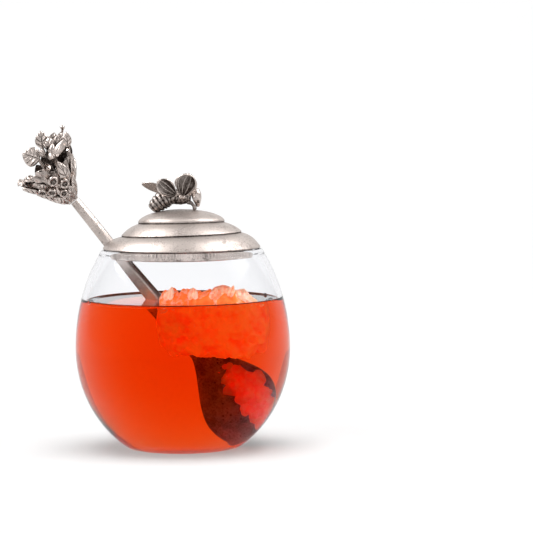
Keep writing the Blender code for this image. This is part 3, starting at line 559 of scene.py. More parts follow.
def wax_group():
    """Soft wax: pale and honey-soaked places that run into each other, with small lumps on the surface."""
    def build(group, entry, place):
        add, take, times = arithmetic(group)
        cloud = add_node(
            group, "ShaderNodeTexNoise", (("Vector", place), ("Scale", entry["Scale"])), Detail=4.0, Distortion=0.8
        ).outputs["Fac"]
        soak = add(times(take(cloud, 0.5), 3.0), entry["Recess"], clamp=True)
        return soak, ("Light", "Deep"), add(times(cloud, 0.3), 0.35), cloud, 0.0008

    return finish_group("Soaked Wax", (
        ("Light", (0.9, 0.5, 0.2, 1.0)), ("Deep", (0.9, 0.2, 0.03, 1.0)), ("Recess", 0.0), ("Scale", 300.0),
        ("Relief", 0.4),
    ), build)


def plain_material(name, **values):
    """A material, its node tree and its main shader, with the shader's plain values set."""
    material = bpy.data.materials.new(name)
    material.use_nodes = True
    shader = material.node_tree.nodes["Principled BSDF"]
    set_inputs(shader, **values)
    return material, material.node_tree, shader


def grouped_material(name, group_name, build, look, **values):
    """A material whose colour, roughness and normal come from a shared group with this finish's own values."""
    material, tree, shader = plain_material(name, **values)
    group = add_node(tree, "ShaderNodeGroup", (), (
        ("node_tree", bpy.data.node_groups.get(group_name) or build()),
    ), **look)
    recess = add_node(tree, "ShaderNodeAttribute", (), (("attribute_name", "recess"),))
    tree.links.new(recess.outputs["Fac"], group.inputs["Recess"])
    for output, target in (("Colour", "Base Color"), ("Roughness", "Roughness"), ("Normal", "Normal")):
        tree.links.new(group.outputs[output], shader.inputs[target])
    return material, tree, shader, group


def pewter(name):
    """Antiqued pewter with its own amount of patina and pits."""
    finishes = bpy.context.scene.honey_finishes
    patina, pit_scale, pit_amount, relief, polish, tone = PEWTER[name]
    look = {
        "Bright": tuple(tone * part for part in finishes.pewter_bright), "Dark": tuple(finishes.pewter_dark),
        "Patina": patina, "Pit Scale": pit_scale, "Pit Amount": pit_amount, "Relief": relief, "Polish": polish,
    }
    return grouped_material(name, "Antique Casting", antique_group, look, Metallic=1.0)[0]


def wax(name, light, deep, scale, relief, glow):
    """Honey-soaked comb wax, faintly see-through, wet on the surface, with a painted glow: it gives off light of
    its own colour, standing in for light scattered within it.
    """
    look = {"Light": tuple(light), "Deep": tuple(deep), "Scale": scale, "Relief": relief}
    material, tree, shader, group = grouped_material(
        name, "Soaked Wax", wax_group, look, Transmission_Weight=0.5, IOR=1.25, Emission_Strength=glow,
        Subsurface_Weight=0.35, Subsurface_Radius=(1.0, 0.35, 0.1), Subsurface_Scale=0.003, Coat_Weight=0.5,
        Coat_Roughness=0.08,
    )
    # Painted glow: the emission takes the wax's own colour, at strength glow.
    tree.links.new(group.outputs["Colour"], shader.inputs["Emission Color"])
    return material


def clear_material(name, surface, ior, mirror, tint, density):
    """A see-through material: tint is what its volume lets through, mirror how white its reflections are."""
    material, tree, _ = plain_material(
        name, Base_Color=surface, Roughness=0.0, IOR=ior, Specular_Tint=(mirror,) * 3, Transmission_Weight=1.0
    )
    volume = add_node(tree, "ShaderNodeVolumeAbsorption", Color=tint, Density=density)
    tree.links.new(volume.outputs["Volume"], tree.nodes["Material Output"].inputs["Volume"])
    return material


def clear_glass(name):
    """Clear blown glass, faintly grey where it is thick."""
    return clear_material(
        name, surface=(0.985, 0.99, 0.995), ior=1.20, mirror=0.03, tint=(0.900, 0.890, 0.925), density=62.0
    )


def bowl_radius(height, inset=0.0):
    """Radius of the bowl at a height: a sqrt(1 - ((z - widest) / reach)^2), all less the inset."""
    s = bpy.context.scene.honey_bowl
    reach = np.where(height > s.equator, s.shoulder + s.crown_cut, s.equator + s.foot_cut)
    ratio = (height - s.equator) / (reach - inset)
    return float((s.radius - inset) * np.sqrt(np.maximum(1.0 - ratio ** 2, 0.0)))


def bowl_profile(low, high, inset, edge, steps):
    """(r, z) points of the bowl from near its axis, over the flat and its round edge, and up the wall.

    The wall's points are evenly spread in the angle e of r = a cos(e), z = widest + reach sin(e).
    """
    s = bpy.context.scene.honey_bowl
    rise, flat_inset = edge
    corner = bowl_radius(low, inset)
    flat = corner - flat_inset
    bottom = round_corner((flat, low), (corner, low), (bowl_radius(low + rise, inset), low + rise), 10)
    upper, lower = s.shoulder + s.crown_cut - inset, s.equator + s.foot_cut - inset
    turn = arc(
        math.asin(max(-1.0, (low + rise - s.equator) / lower)), math.asin((high - s.equator) / upper), steps
    )
    reach = np.where(turn > 0.0, upper, lower)
    wall = np.stack([(s.radius - inset) * np.cos(turn), s.equator + reach * np.sin(turn)], axis=-1)
    return np.vstack([[(0.0006, low), (flat / 2, low)], bottom, wall[1:]])


class HONEY_OT_bowl(bpy.types.Operator):
    """Blow the glass bowl with its thin wall and fire-polished lip"""
    bl_idname = "honey.bowl"
    bl_label = "Glass bowl"

    def execute(self, context):
        s = context.scene.honey_bowl
        top = s.equator + s.shoulder
        inner = bowl_profile(s.floor, top - LIP_INSIDE, s.wall, ROUND_INSIDE, 56)
        outer = bowl_profile(0.0, top - LIP_OUTSIDE, 0.0, ROUND_OUTSIDE, 64)
        crest = inner[-1][0] + LIP_CREST
        turn = arc(0.0, math.pi / 2, 8)[:, None]

        def lip(end, rise):
            return np.hstack([crest + (end - crest) * np.cos(turn), top - rise + rise * np.sin(turn)])

        profile = np.vstack([
            inner, lip(inner[-1][0], LIP_INSIDE)[1:], lip(outer[-1][0], LIP_OUTSIDE)[1:-1][::-1], outer[::-1]
        ])
        rings = turned_rings(profile, s.columns)
        bowl = add_piece("glass_bowl_clear", skin([(rings, 0.0)]), clear_glass("clear_glass"), "pot",
                         ("glass_bowl",))
        bowl.visible_shadow = False
        bowl.visible_diffuse = False
        return {"FINISHED"}


class HONEY_OT_honey(bpy.types.Operator):
    """Fill the bowl with honey: a meniscus at the wall, a thin brown ring of painted shade where they meet, and a
    few small bubbles
    """
    bl_idname = "honey.honey"
    bl_label = "Honey"

    def execute(self, context):
        s = context.scene.honey_bowl
        f = context.scene.honey_finishes
        level = s.honey_level
        side = bowl_profile(
            s.floor - HONEY_OVERLAP, level + s.meniscus, s.wall - HONEY_OVERLAP, ROUND_INSIDE, 56
        )
        edge = side[-1][0]
        drop = arc(0.0, 1.0, 14)[1:]
        meniscus = np.stack([edge - 0.0045 * drop, level + s.meniscus * (1.0 - drop) ** 3], axis=-1)
        flat = [(r, level) for r in (edge * 0.8, edge * 0.6, edge * 0.4, edge * 0.2, 0.0008)]
        rings = turned_rings(np.vstack([side, meniscus, flat]), s.columns)
        clear = clear_material(
            "clear_honey", surface=(1.0, 1.0, 1.0), ior=1.40, mirror=0.0, tint=f.honey_tint,
            density=f.honey_density,
        )
        honey = add_piece("honey_clear", skin([(rings, 0.0)]), clear, "pot", ("honey",))
        honey.visible_diffuse = False
        # A thin brown ring at the wall just above the honey's surface: painted shade for the dark line where the
        # meniscus meets the glass.
        turn = arc(0.0, 2.0 * math.pi, 13)
        radius = bowl_radius(level, s.wall) - 0.00035
        section = np.stack([radius + 0.00026 * np.cos(turn), level + 0.0004 + 0.0003 * np.sin(turn)], axis=-1)
        line = turned_rings(section, s.columns)
        painted_shade_brown = plain_material(
            "honey_edge_painted_shade", Base_Color=(0.30, 0.075, 0.03), Roughness=0.3, Transmission_Weight=0.4, IOR=1.2
        )[0]
        add_piece("honey_contact_painted_shade", ring_skin(line, np.zeros(line.shape[:2])), painted_shade_brown, "pot", ())
        bubbles = mm(
            (-44.0, -18.0, 1.4), (43.6, -17.5, 1.3), (42.4, 20.5, 1.0), (41.8, -21.5, 0.8),
            (17.5, -45.0, 0.7), (22.5, -43.0, 0.9), (26.5, -40.8, 0.7), (-40.0, -26.2, 0.7),
        )
        shells = [(ball_rings((x, y, level + 0.0002), r, 12, 20), 0.0) for x, y, r in bubbles]
        add_piece("honey_bubbles", skin(shells), clear_glass("bubble_film"), "pot", ())
        return {"FINISHED"}


def cell_wall_distance(x, z, pitch):
    """Distance to the nearest cell wall: half the pitch less the six-sided norm from the cell's middle."""
    row = pitch * math.sqrt(3.0) / 2
    best = np.full(np.broadcast(x, z).shape, -1.0)
    for shift in (0.0, 1.0):
        k = np.round((z - shift * row) / (2 * row)) * 2 * row + shift * row
        j = np.round((x - shift * pitch / 2) / pitch) * pitch + shift * pitch / 2
        dx, dz = np.abs(x - j), np.abs(z - k)
        norm = np.maximum(dx, dx * 0.5 + dz * math.sqrt(3.0) / 2)
        best = np.maximum(best, pitch / 2 - norm)
    return best


def comb_rings(level, rows=170, columns=240):
    """Rings of the comb's slab along X: a rounded rectangle in Y and Z whose top follows the broken edge.

    The front face is pushed in by up to a depth where a six-sided cell is open, in the patches where smooth
    bumps are high; then every point moves along the way out from its ring's middle by bumps of three sizes.
    """
    along = arc(0.0, 1.0, rows)
    x = COMB_LOW.x + (COMB_HIGH.x - COMB_LOW.x) * along
    top = level + COMB_RISE * np.interp(along, *np.array(COMB_TOP).T)
    turn = full_turn(columns)
    across, up = np.cos(turn), np.sin(turn)
    square = 1.0 / (np.abs(across) ** 4 + np.abs(up) ** 4) ** 0.25
    across, up = across * square, up * square
    low = COMB_LOW.z + 0.0015 * (1.0 + ripple(x[:, None] * (1.0, 0.0, 0.0), 260.0, 5.0))
    middle_y, half_y = (COMB_LOW.y + COMB_HIGH.y) / 2, (COMB_HIGH.y - COMB_LOW.y) / 2
    ends = np.maximum(1.0 - np.abs(2.0 * along - 1.0) ** 6, 0.02) ** 0.45
    y = middle_y + half_y * across[None, :] * ends[:, None]
    z = ((top + low) / 2)[:, None] + ((top - low) / 2 * ends)[:, None] * up[None, :]
    points = np.stack([np.broadcast_to(x[:, None], y.shape), y, z], axis=-1)
    wall = cell_wall_distance(points[..., 0], points[..., 2], CELL_PITCH)
    facing = smooth_step(-across, 0.86, 0.99)[None, :] * smooth_step(level - points[..., 2], 0.0, 0.003)
    patch = smooth_step(ripple(points * (1.0, 0.0, 1.0), 130.0, 2.2), -0.25, 0.55)
    open_cell = smooth_step(wall, 0.0002, 0.0016) * facing * patch
    points[..., 1] += CELL_DEPTH * open_cell
    middle = np.stack([x, np.full(rows, middle_y), points[..., 2].mean(axis=1)], axis=-1)[:, None, :]
    outward = points - middle
    outward /= np.maximum(np.linalg.norm(outward, axis=-1, keepdims=True), 1e-6)
    large, small, tiny = ripple(points, 420.0, 3.1), ripple(points, 1300.0, 1.3), ripple(points, 3600.0, 4.1)
    broken = smooth_step(middle[..., 2] - points[..., 2], 0.004, 0.012)
    broken = broken + smooth_step(np.abs(2.0 * along - 1.0), 0.8, 1.0)[:, None]
    rough = (0.0009 + 0.0020 * broken) * large + 0.0005 * small + 0.00018 * tiny - 0.0008 * (1.0 + broken)
    dry = smooth_step(points[..., 2], level, level + 0.004)
    recess = 0.40 - 0.45 * large - 0.25 * small + 0.30 * open_cell - 0.25 * dry
    return points + outward * rough[..., None], capped(recess)


class HONEY_OT_comb(bpy.types.Operator):
    """Cut the piece of comb that floats in the honey, with its broken wax edge"""
    bl_idname = "honey.comb"
    bl_label = "Honeycomb"

    def execute(self, context):
        level = context.scene.honey_bowl.honey_level
        f = context.scene.honey_finishes
        # Both waxes carry a painted glow, 0.31 and 0.16 strong.
        soaked = wax("soaked_comb", f.comb_light, f.comb_deep, scale=170.0, relief=0.6, glow=0.31)
        add_piece("honeycomb_slab", skin([comb_rings(level)]), soaked, "pot", ("honeycomb",), 50.0)
        pale = wax("pale_comb", (1.0, 0.80, 0.62), (1.0, 0.26, 0.03), scale=420.0, relief=0.6, glow=0.16)
        lumps = mm(
            (-7.5, -23.5, 0.6, 3.0, 2.4, 6.2), (-2.5, -24.0, 0.2, 4.0, 2.6, 5.2),
            (3.0, -23.8, 0.4, 3.6, 2.5, 6.6), (7.8, -23.0, 0.0, 3.4, 2.2, 5.8),
            (12.0, -22.5, -0.4, 4.4, 2.2, 4.6), (17.2, -23.5, 0.2, 2.0, 1.8, 5.0),
            (23.0, -21.5, 0.6, 4.8, 3.0, 6.2), (27.5, -20.5, 1.0, 3.6, 3.0, 6.0),
            (31.5, -20.0, -0.4, 3.8, 2.6, 4.2), (35.2, -18.0, -1.0, 2.8, 2.4, 3.0),
            (5.0, -16.0, 1.4, 5.0, 4.0, 5.8), (20.0, -15.0, 1.2, 6.0, 4.0, 6.0),
            (29.0, -14.0, 0.6, 4.5, 4.0, 5.6), (-4.5, -15.0, 1.0, 4.2, 3.6, 5.6),
        )
        shells = []
        for k, (x, y, up, *size) in enumerate(lumps):
            soaked_share = 0.85 - 0.80 * smooth_step(x, 0.006, 0.026) + 0.12 * (k % 3 - 1)
            shells.append((lump_rings((x, y, level + up), size, 1.7 * k, 26, 36, 0.34), soaked_share))
        curls = (
            (-8.0, -25.0, -5.8, 6.2, 0.4), (-5.2, -25.2, -4.0, 7.8, -0.3), (4.2, -25.0, 5.8, 7.4, 0.3),
            (7.2, -24.8, 7.6, 6.6, -0.5), (14.2, -24.4, 18.0, 7.0, 0.2), (23.6, -23.6, 26.2, 8.0, -0.2),
        )
        for *place, turn in curls:
            x0, y0, x1, rise = mm(*place)
            shells.append(blade_rings(
                (x0, y0, level + 0.0015), (x1, y0 + 0.0012, level + rise), (turn, -1.0, 0.25), 0.0034, 0.0009,
                furrowed, (14, 9), bend=0.0007, curl=0.0008,
            ))
        add_piece("honeycomb_broken_edge", skin(shells), pale, "pot", ())
        return {"FINISHED"}


def lid_profile():
    """(r, z) of the lid: three swelling tiers with a rounded groove under each, the rim, and the hollow below.

    The top tier is a swollen dome r = R cos(e)^(2/n), z = rise sin(e)^(2/n); the others are arcs
    that swell by a bulge off the line between two grooves.
    """
    s = bpy.context.scene.honey_lid
    radii, heights = s.radius * np.array(TIER_RADII), s.rise * np.array(TIER_HEIGHTS)

    def dome(radius, base, rise, power, steps):
        turn = arc(math.pi / 2 - 0.02, 0.0, steps)
        across = radius * np.cos(turn) ** (2.0 / power)
        return np.stack([across, base + rise * np.maximum(np.sin(turn), 0.0) ** (2.0 / power)], axis=-1)

    def swelling(start, end, bulge, steps):
        t = arc(0.0, 1.0, steps)[:, None]
        line = end - start
        normal = np.array((-line[1], line[0])) / np.linalg.norm(line)
        normal = normal if normal[1] > 0 else -normal
        return start + line * t + normal * bulge * 4.0 * t * (1.0 - t)

    parts = [dome(radii[2], heights[2], s.rise - heights[2], DOME_POWER, 34)]
    for tier, bulge in TIER_SWELLS:
        corner = np.array((radii[tier + 1], heights[tier + 1]))
        tuck = corner + s.groove * np.array((-1.3, -1.2))
        start = corner + s.groove * np.array((0.8, -2.0))
        parts.append(round_corner(corner + mm(0.05, -0.2), tuck, start, 7))
        parts.append(swelling(start, np.array((radii[tier], heights[tier])), bulge, 26)[1:])
    parts.append(round_corner(parts[-1][-1], (s.radius + 0.0001, 0.0), (s.radius - 0.0008, 0.0))[1:])
    parts.append(np.array([((s.radius + s.hollow_radius) / 2, 0.0)]))
    parts.append(dome(s.hollow_radius, 0.0, s.rise - CROWN_WALL, HOLLOW_POWER, HOLLOW_ROWS)[::-1])
    return np.vstack(parts), radii, heights


class HONEY_OT_lid(bpy.types.Operator):
    """Cast the stepped lid and its collar, with the notch for the spoon"""
    bl_idname = "honey.lid"
    bl_label = "Lid"

    def execute(self, context):
        s = context.scene.honey_lid
        profile, radii, heights = lid_profile()
        rings = turned_rings(profile, s.columns)
        x, y, z = (rings[..., k] for k in range(3))
        lower = smooth_step(z, heights[0] * 2.0, heights[1]) * (1.0 - smooth_step(z, heights[1], heights[2]))
        upper = smooth_step(z, heights[1], heights[2]) * (1.0 - smooth_step(z, heights[2], s.rise))
        rings[..., 2] += s.lean * (x * (1.3 * lower + 0.5 * upper) - y * (0.7 * lower + 1.6 * upper))
        rings[..., 2] += LID_LOW.z
        r, z = profile.T
        groove = sum(
            np.exp(-(((r - radii[k]) / 0.0005) ** 2 + ((z - heights[k] + 0.0005) / 0.00032) ** 2)) for k in (1, 2)
        )
        under = np.where(np.arange(len(r)) > len(r) - HOLLOW_ROWS - 3, 0.45, 0.0)
        recess = capped(groove * 1.1 + under)[:, None]
        lid = cast("lid_tiers", [(rings, recess)], pewter("lid_pewter"), "lid", "lid_dome", sharp=60.0)
        inside, outside, d = s.hollow_radius, s.collar_radius, s.collar_depth
        start = [(inside + 0.0001, -0.0003)]
        section = np.vstack([
            start, [(outside - 0.0002, -0.0003)],
            round_corner((outside, -0.0005), (outside, -d), (outside - 0.0006, -d)),
            round_corner((inside + 0.0004, -d), (inside, -d), (inside, -d + 0.0004), 5), start,
        ])
        band = turned_rings(section, s.columns)
        band[..., 2] += LID_LOW.z
        # Painted shade: the collar's top 0.8 mm, just under the lid's rim, gets 0.5 more recess; the ripple adds
        # mottling.
        rim_shade_and_mottle = 0.10 + 0.5 * (section[:, 1] > -0.0008)[:, None] + 0.16 * capped(ripple(band, 260.0, 2.0))
        collar = add_piece("lid_collar_ring", ring_skin(band, rim_shade_and_mottle), pewter("collar_pewter"), "lid",
                           ("lid_collar",))
        notch = notch_cutter()
        carve(lid, notch)
        carve(collar, notch)
        bpy.data.objects.remove(notch, do_unlink=True)
        return {"FINISHED"}


def in_spoon_frame(points):
    """Points given as (in towards the axis, back, along the stem) in the pot's frame."""
    points = np.asarray(points, float)
    return SPOON_CROSSING + points @ np.stack([SPOON_INWARD, SPOON_BACK, SPOON_ALONG])


def stem_width(along):
    """Width of the stem: broad below the rim, narrow at the posy, straight between the named places."""
    return np.interp(along, STEM_PLACES, STEM_WIDTHS)


def notch_cutter():
    """A slanted block along the stem, as deep as the stem is wide when drawn, that opens the lid outwards."""
    high = float(stem_width(-SPOON_DRAW)) - STEM_EDGE + NOTCH_PLAY
    section = ((NOTCH_OUT, -NOTCH_HALF), (high, -NOTCH_HALF), (high, NOTCH_HALF), (NOTCH_OUT, NOTCH_HALF))
    corners = [(x, y, z) for z in (-NOTCH_REACH, NOTCH_REACH) for x, y in section]
    faces = [(0, 1, 2, 3), (7, 6, 5, 4), (1, 0, 4, 5), (2, 1, 5, 6), (3, 2, 6, 7), (0, 3, 7, 4)]
    return put("notch_tool", facing_mesh("notch_tool", in_spoon_frame(corners), faces))


class HONEY_OT_spoon(bpy.types.Operator):
    """Cast the spoon: a faceted stem that widens downwards and an egg-shaped bowl with wax clinging in it"""
    bl_idname = "honey.spoon"
    bl_label = "Spoon"

    def execute(self, context):
        s = context.scene.honey_spoon
        self.add_spoon(s)
        self.add_wax(s, context.scene.honey_finishes)
        return {"FINISHED"}

    def add_spoon(self, s):
        """One skin: the width grows from the stem to the bowl, the section from facets to a thin dish.

        The bowl's half width is half its breadth times sqrt(1 - q^2) past its widest place, where q runs
        from 0 there to 1 at the tip, and its middle sinks by depth times (1 - u^2) at share u across.
        """
        tip = np.array((0.0, 0.002, 0.006, 0.012, 0.02, 0.032, 0.046))
        along = np.concatenate([
            -s.reach + s.bowl_length * np.concatenate([tip, arc(0.06, 1.0, 60)]),
            arc(-s.reach + s.bowl_length, s.above, 60)[1:],
        ])
        neck = stem_width(along) / 2
        middle = neck - STEM_EDGE
        part = (s.bowl_length - s.reach - along) / s.bowl_length
        broad, widest = s.bowl_width / 2, 0.56
        grow = smooth_step(part, -0.02, widest) ** 0.8
        rest = capped((part - widest) / (1.0 - widest))
        round_end = broad * np.sqrt(np.maximum(1.0 - rest * rest, 0.01))
        half = np.where(part > widest, round_end, neck + (broad - neck) * grow)
        full = half / broad
        dish = np.where(part > 0.0, s.bowl_depth * full * full * grow, 0.0)
        thin = np.minimum(grow * 2.0, 1.0)
        thick = s.stem_depth + (s.bowl_wall - s.stem_depth) * thin
        edge = (0.35 + 0.65 * thin)[:, None]
        u = arc(-1.0, 1.0, 41)
        facet = edge + (1.0 - edge) * np.interp(u, (-1.0, 0.25, 0.5, 1.0), (0.0, 1.0, 0.90, 0.0))
        facet = facet * np.sqrt(np.clip(1.02 - np.abs(u) ** 14, 0.05, 1.0)) * thick[:, None] / 2
        centre = dish[:, None] * (1.0 - u * u)
        across = middle[:, None] + half[:, None] * u
        rows = along[:, None] + 0 * across
        back = np.stack([across, centre + facet, rows], axis=-1)
        front = np.stack([across, centre - facet, rows], axis=-1)
        rings = in_spoon_frame(np.concatenate([back, front[:, ::-1]], axis=1))
        mottle = np.clip(0.08 + 0.22 * ripple(rings, 420.0, 0.4), 0.0, 0.5)
        # Random mottling, plus up to 0.5 of painted shade on the part deep in the honey, growing from about its
        # surface to full at the bowl.
        recess = mottle + 0.5 * smooth_step(-along, 0.030, 0.075)[:, None]
        cast("spoon_cast", [(rings, recess)], pewter("spoon_pewter"), "spoon", "spoon", sharp=30.0)

    def add_wax(self, s, f):
        """Lumps of wax spread over one side of the bowl in two even strides that never fall together."""
        breadth, middle = 0.0150, 0.0205
        shells = []
        for k in range(44):
            up = 0.006 + 0.034 * ((k * 0.569) % 1.0)
            wide = breadth * math.sqrt(max(1.0 - ((up - middle) / middle) ** 2, 0.0)) - 0.0024
            side = (0.05 + 0.95 * ((k * 0.755 + 0.2) % 1.0)) * wide
            centre = in_spoon_frame((side, 0.0028 * (1.0 - (side / breadth) ** 2) - 0.0004, up - s.reach))
            shells.append((lump_rings(centre, mm(2.8, 1.9, 2.6), 2.3 * k, 18, 26, 0.5), 0.35 + 0.3 * (k % 3)))
        # The clinging wax carries a painted glow, 0.15 strong.
        clinging = wax("clinging_wax", f.comb_light, f.comb_deep, scale=420.0, relief=0.5, glow=0.15)
        add_piece("spoon_wax", skin(shells), clinging, "spoon", ())


class HONEY_OT_bee(bpy.types.Operator):
    """Cast the bee that stands on the lid: banded body, head, four veined wings and legs"""
    bl_idname = "honey.bee"
    bl_label = "Bee"

    def execute(self, context):
        seat = np.array((0.0, 0.0, LID_HIGH.z))
        metal = pewter("bee_pewter")
        self.add_abdomen(seat, metal)
        self.add_thorax(seat, metal)
        self.add_head(seat, metal)
        self.add_wings(seat, metal)
        self.add_legs(seat, metal)
        return {"FINISHED"}

    def add_abdomen(self, seat, metal):
        """A tapering body with bands between grooves and fine ridges along it."""
        path = smooth_path(mm(
            (-15.0, 0.0, -0.1), (-13.9, 0.0, 1.0), (-11.7, 0.0, 2.8), (-9.4, 0.0, 4.5), (-6.8, 0.0, 5.8),
            (-4.6, 0.0, 6.3),
        ), 110)
        radius = widths(110, (0.0, 0.04, 0.2, 0.4, 0.6, 0.8, 1.0), (0.8, 1.8, 3.1, 4.0, 4.5, 4.4, 3.6))
        band = (np.abs(np.sin(math.pi * 6.5 * arc(0.0, 1.0, 110) ** 1.1)) ** 0.5)[:, None]
        groove = 1.0 - band
        ridges = 0.5 + 0.5 * np.cos(10.0 * full_turn(56))
        relief = 0.045 * band - 0.10 * groove + 0.03 * ridges * band
        rings = seat + tube_rings(path, radius[:, None] * (1.0 + relief), 56)
        fur = ripple(rings, 3000.0, 1.7)
        recess = capped(0.24 + groove * 0.9 + 0.35 * (1.0 - ridges) * band + 0.4 * fur)
        cast("bee_abdomen_banded", [(rings, recess)], metal, "lid", "bee_abdomen")

    def add_thorax(self, seat, metal):
        """A furred barrel with a knob on each side for the wings."""
        path = smooth_path(mm(
            (-5.6, 0.0, 6.0), (-3.0, 0.0, 6.2), (0.4, 0.0, 6.2), (3.0, 0.0, 6.0), (5.0, 0.0, 5.8)
        ), 60)
        radius = smooth_path(mm(3.1, 3.7, 3.8, 3.2, 1.9)[:, None], 60)[:, 0]
        rings = tube_rings(path, radius, 64)
        fur = ripple(rings, 3600.0, 0.9)
        outward = rings - path[:, None, :]
        shells = [(seat + path[:, None, :] + outward * (1.0 + 0.045 * fur[..., None]), capped(0.70 - 0.6 * fur))]
        for side in (-1.0, 1.0):
            shells.append((seat + ball_rings(mm(0.6, side * 3.6, 6.2), 0.0013, 14, 20, (1.35, 0.7, 0.9)), 0.0))
        cast("bee_thorax_furred", shells, metal, "lid", "bee_thorax")

    def add_head(self, seat, metal):
        """A smooth tall head that narrows to its mouth, with an eye on each side."""
        path = smooth_path(mm(
            (8.3, 0.0, 1.1), (8.3, 0.0, 2.6), (8.1, 0.0, 4.6), (7.7, 0.0, 7.0), (7.2, 0.0, 9.0), (6.7, 0.0, 10.3)
        ), 60)
        radius = widths(
            60, (0.0, 0.05, 0.2, 0.45, 0.65, 0.85, 0.95, 1.0), (0.5, 0.9, 1.4, 2.3, 2.6, 2.1, 1.3, 0.4)
        )
        brow = np.exp(-((arc(0.0, 1.0, 60)[:, None] - 0.36) / 0.03) ** 2) * capped(np.sin(full_turn(44)) ** 2)
        shells = [(seat + tube_rings(path, radius, 44, 1.25), capped(0.04 + 0.8 * brow))]
        for side in (-1.0, 1.0):
            shells.append((seat + ball_rings(mm(8.8, side * 2.1, 3.6), 0.0006, 8, 12), 0.95))
            shells.append((seat + ball_rings(mm(7.2, side * 2.7, 5.2), 0.0012, 12, 16, (1.0, 0.5, 1.3)), 0.25))
        cast("bee_head_smooth", shells, metal, "lid", "bee_head")

    def add_wings(self, seat, metal):
        """Four wings with raised rims and veins that stand up from the thorax."""
        wings = (
            ("bee_forewing_near", (0.4, -4.4, 6.4), (4.6, -7.8, 18.0), (0.10, -1.0, 0.30), 0.0112, 4),
            ("bee_hindwing_near", (-2.0, -4.4, 6.6), (-11.4, -6.6, 14.6), (-0.20, -1.0, 0.40), 0.0086, 4),
            ("bee_forewing_far", (0.2, 4.4, 7.5), (1.6, 8.4, 16.6), (0.0, 1.0, 0.35), 0.0090, 4),
            ("bee_hindwing_far", (-2.6, 4.4, 7.0), (-19.8, 8.6, 12.6), (0.0, 1.0, 0.8), 0.0058, 3),
        )
        for name, root, tip, facing, width, veins in wings:
            shell = blade_rings(
                seat + mm(*root), seat + mm(*tip), facing, width, 0.0009, partial(wing_relief, veins=veins),
                (64, 61), wing_outline, bend=0.0006, cup=-0.0004, height=0.00042,
            )
            cast(name + "_veined", [shell], metal, "lid", name)

    def add_legs(self, seat, metal):
        """Two front legs with a knee."""
        radius = 0.0008 * (1.0 + 0.18 * np.sin(arc(0.0, 9.0, 24)))
        for name, side in (("bee_leg_near", -1.0), ("bee_leg_far", 1.0)):
            path = smooth_path(mm(
                (3.2, side * 1.6, 3.4), (5.0, side * 2.1, 3.0), (6.4, side * 2.3, 1.4), (6.9, side * 2.3, -0.3)
            ), 24)
            cast(name + "_jointed", [(seat + tube_rings(path, radius, 14), 0.75)], metal, "lid", name)


def in_posy_frame(points):
    """Points on the posy's own axes, z up from its throat, in the pot's frame."""
    x, y, z = np.moveaxis(np.asarray(points, float), -1, 0)
    cosine, sine = math.cos(POSY_TILT), math.sin(POSY_TILT)
    return in_spoon_frame(np.stack([x * cosine + z * sine, y, z * cosine - x * sine], axis=-1) + POSY_SEAT)


def calyx_rings(part, turn, inset=0.0, ruffle=1.0):
    """Points of the calyx at share s from throat to rim and turn a.

    The radius is throat + (mouth - throat) s^1.15, swollen by the lobes' cosine, with small ruffles
    near the rim, and the height is length times s, with the lobes' rise near the rim.
    """
    s = bpy.context.scene.honey_posy
    lobe = np.cos(s.lobes * turn)
    reach = s.throat_radius + (s.mouth_radius - s.throat_radius) * part ** FLARE_POWER
    reach = reach * (1.0 + 0.07 * part * lobe)
    reach = reach + ruffle * 0.0006 * part ** 3 * np.sin(3 * s.lobes * turn + 0.6) - inset
    rise = s.calyx_length * part + 0.0017 * lobe * part ** 3
    rise = rise + 0.0005 * ruffle * part ** 4 * np.cos(4 * s.lobes * turn)
    return np.stack([reach * np.cos(turn), reach * np.sin(turn), rise + 0 * turn], axis=-1)


def stalk(*points):
    """A thin stalk through points in millimetres on the posy's axes, and its recess."""
    return in_posy_frame(tube_rings(smooth_path(mm(*points), 16), 0.0008, 14)), 0.5


def petal(base, tip, facing, width, relief=veined, steps=(44, 41), dark=0.0, **form):
    """A leaf or petal on the posy's axes, and its recess, to which dark adds painted shade, or takes some away
    when below zero; width and form in millimetres.
    """
    form = {key: value * MM for key, value in form.items()}
    thickness = bpy.context.scene.honey_posy.leaf_thickness
    rings, recess = blade_rings(base, tip, facing, width * MM, thickness, relief, steps, **form)
    return in_posy_frame(rings), capped(recess + dark)


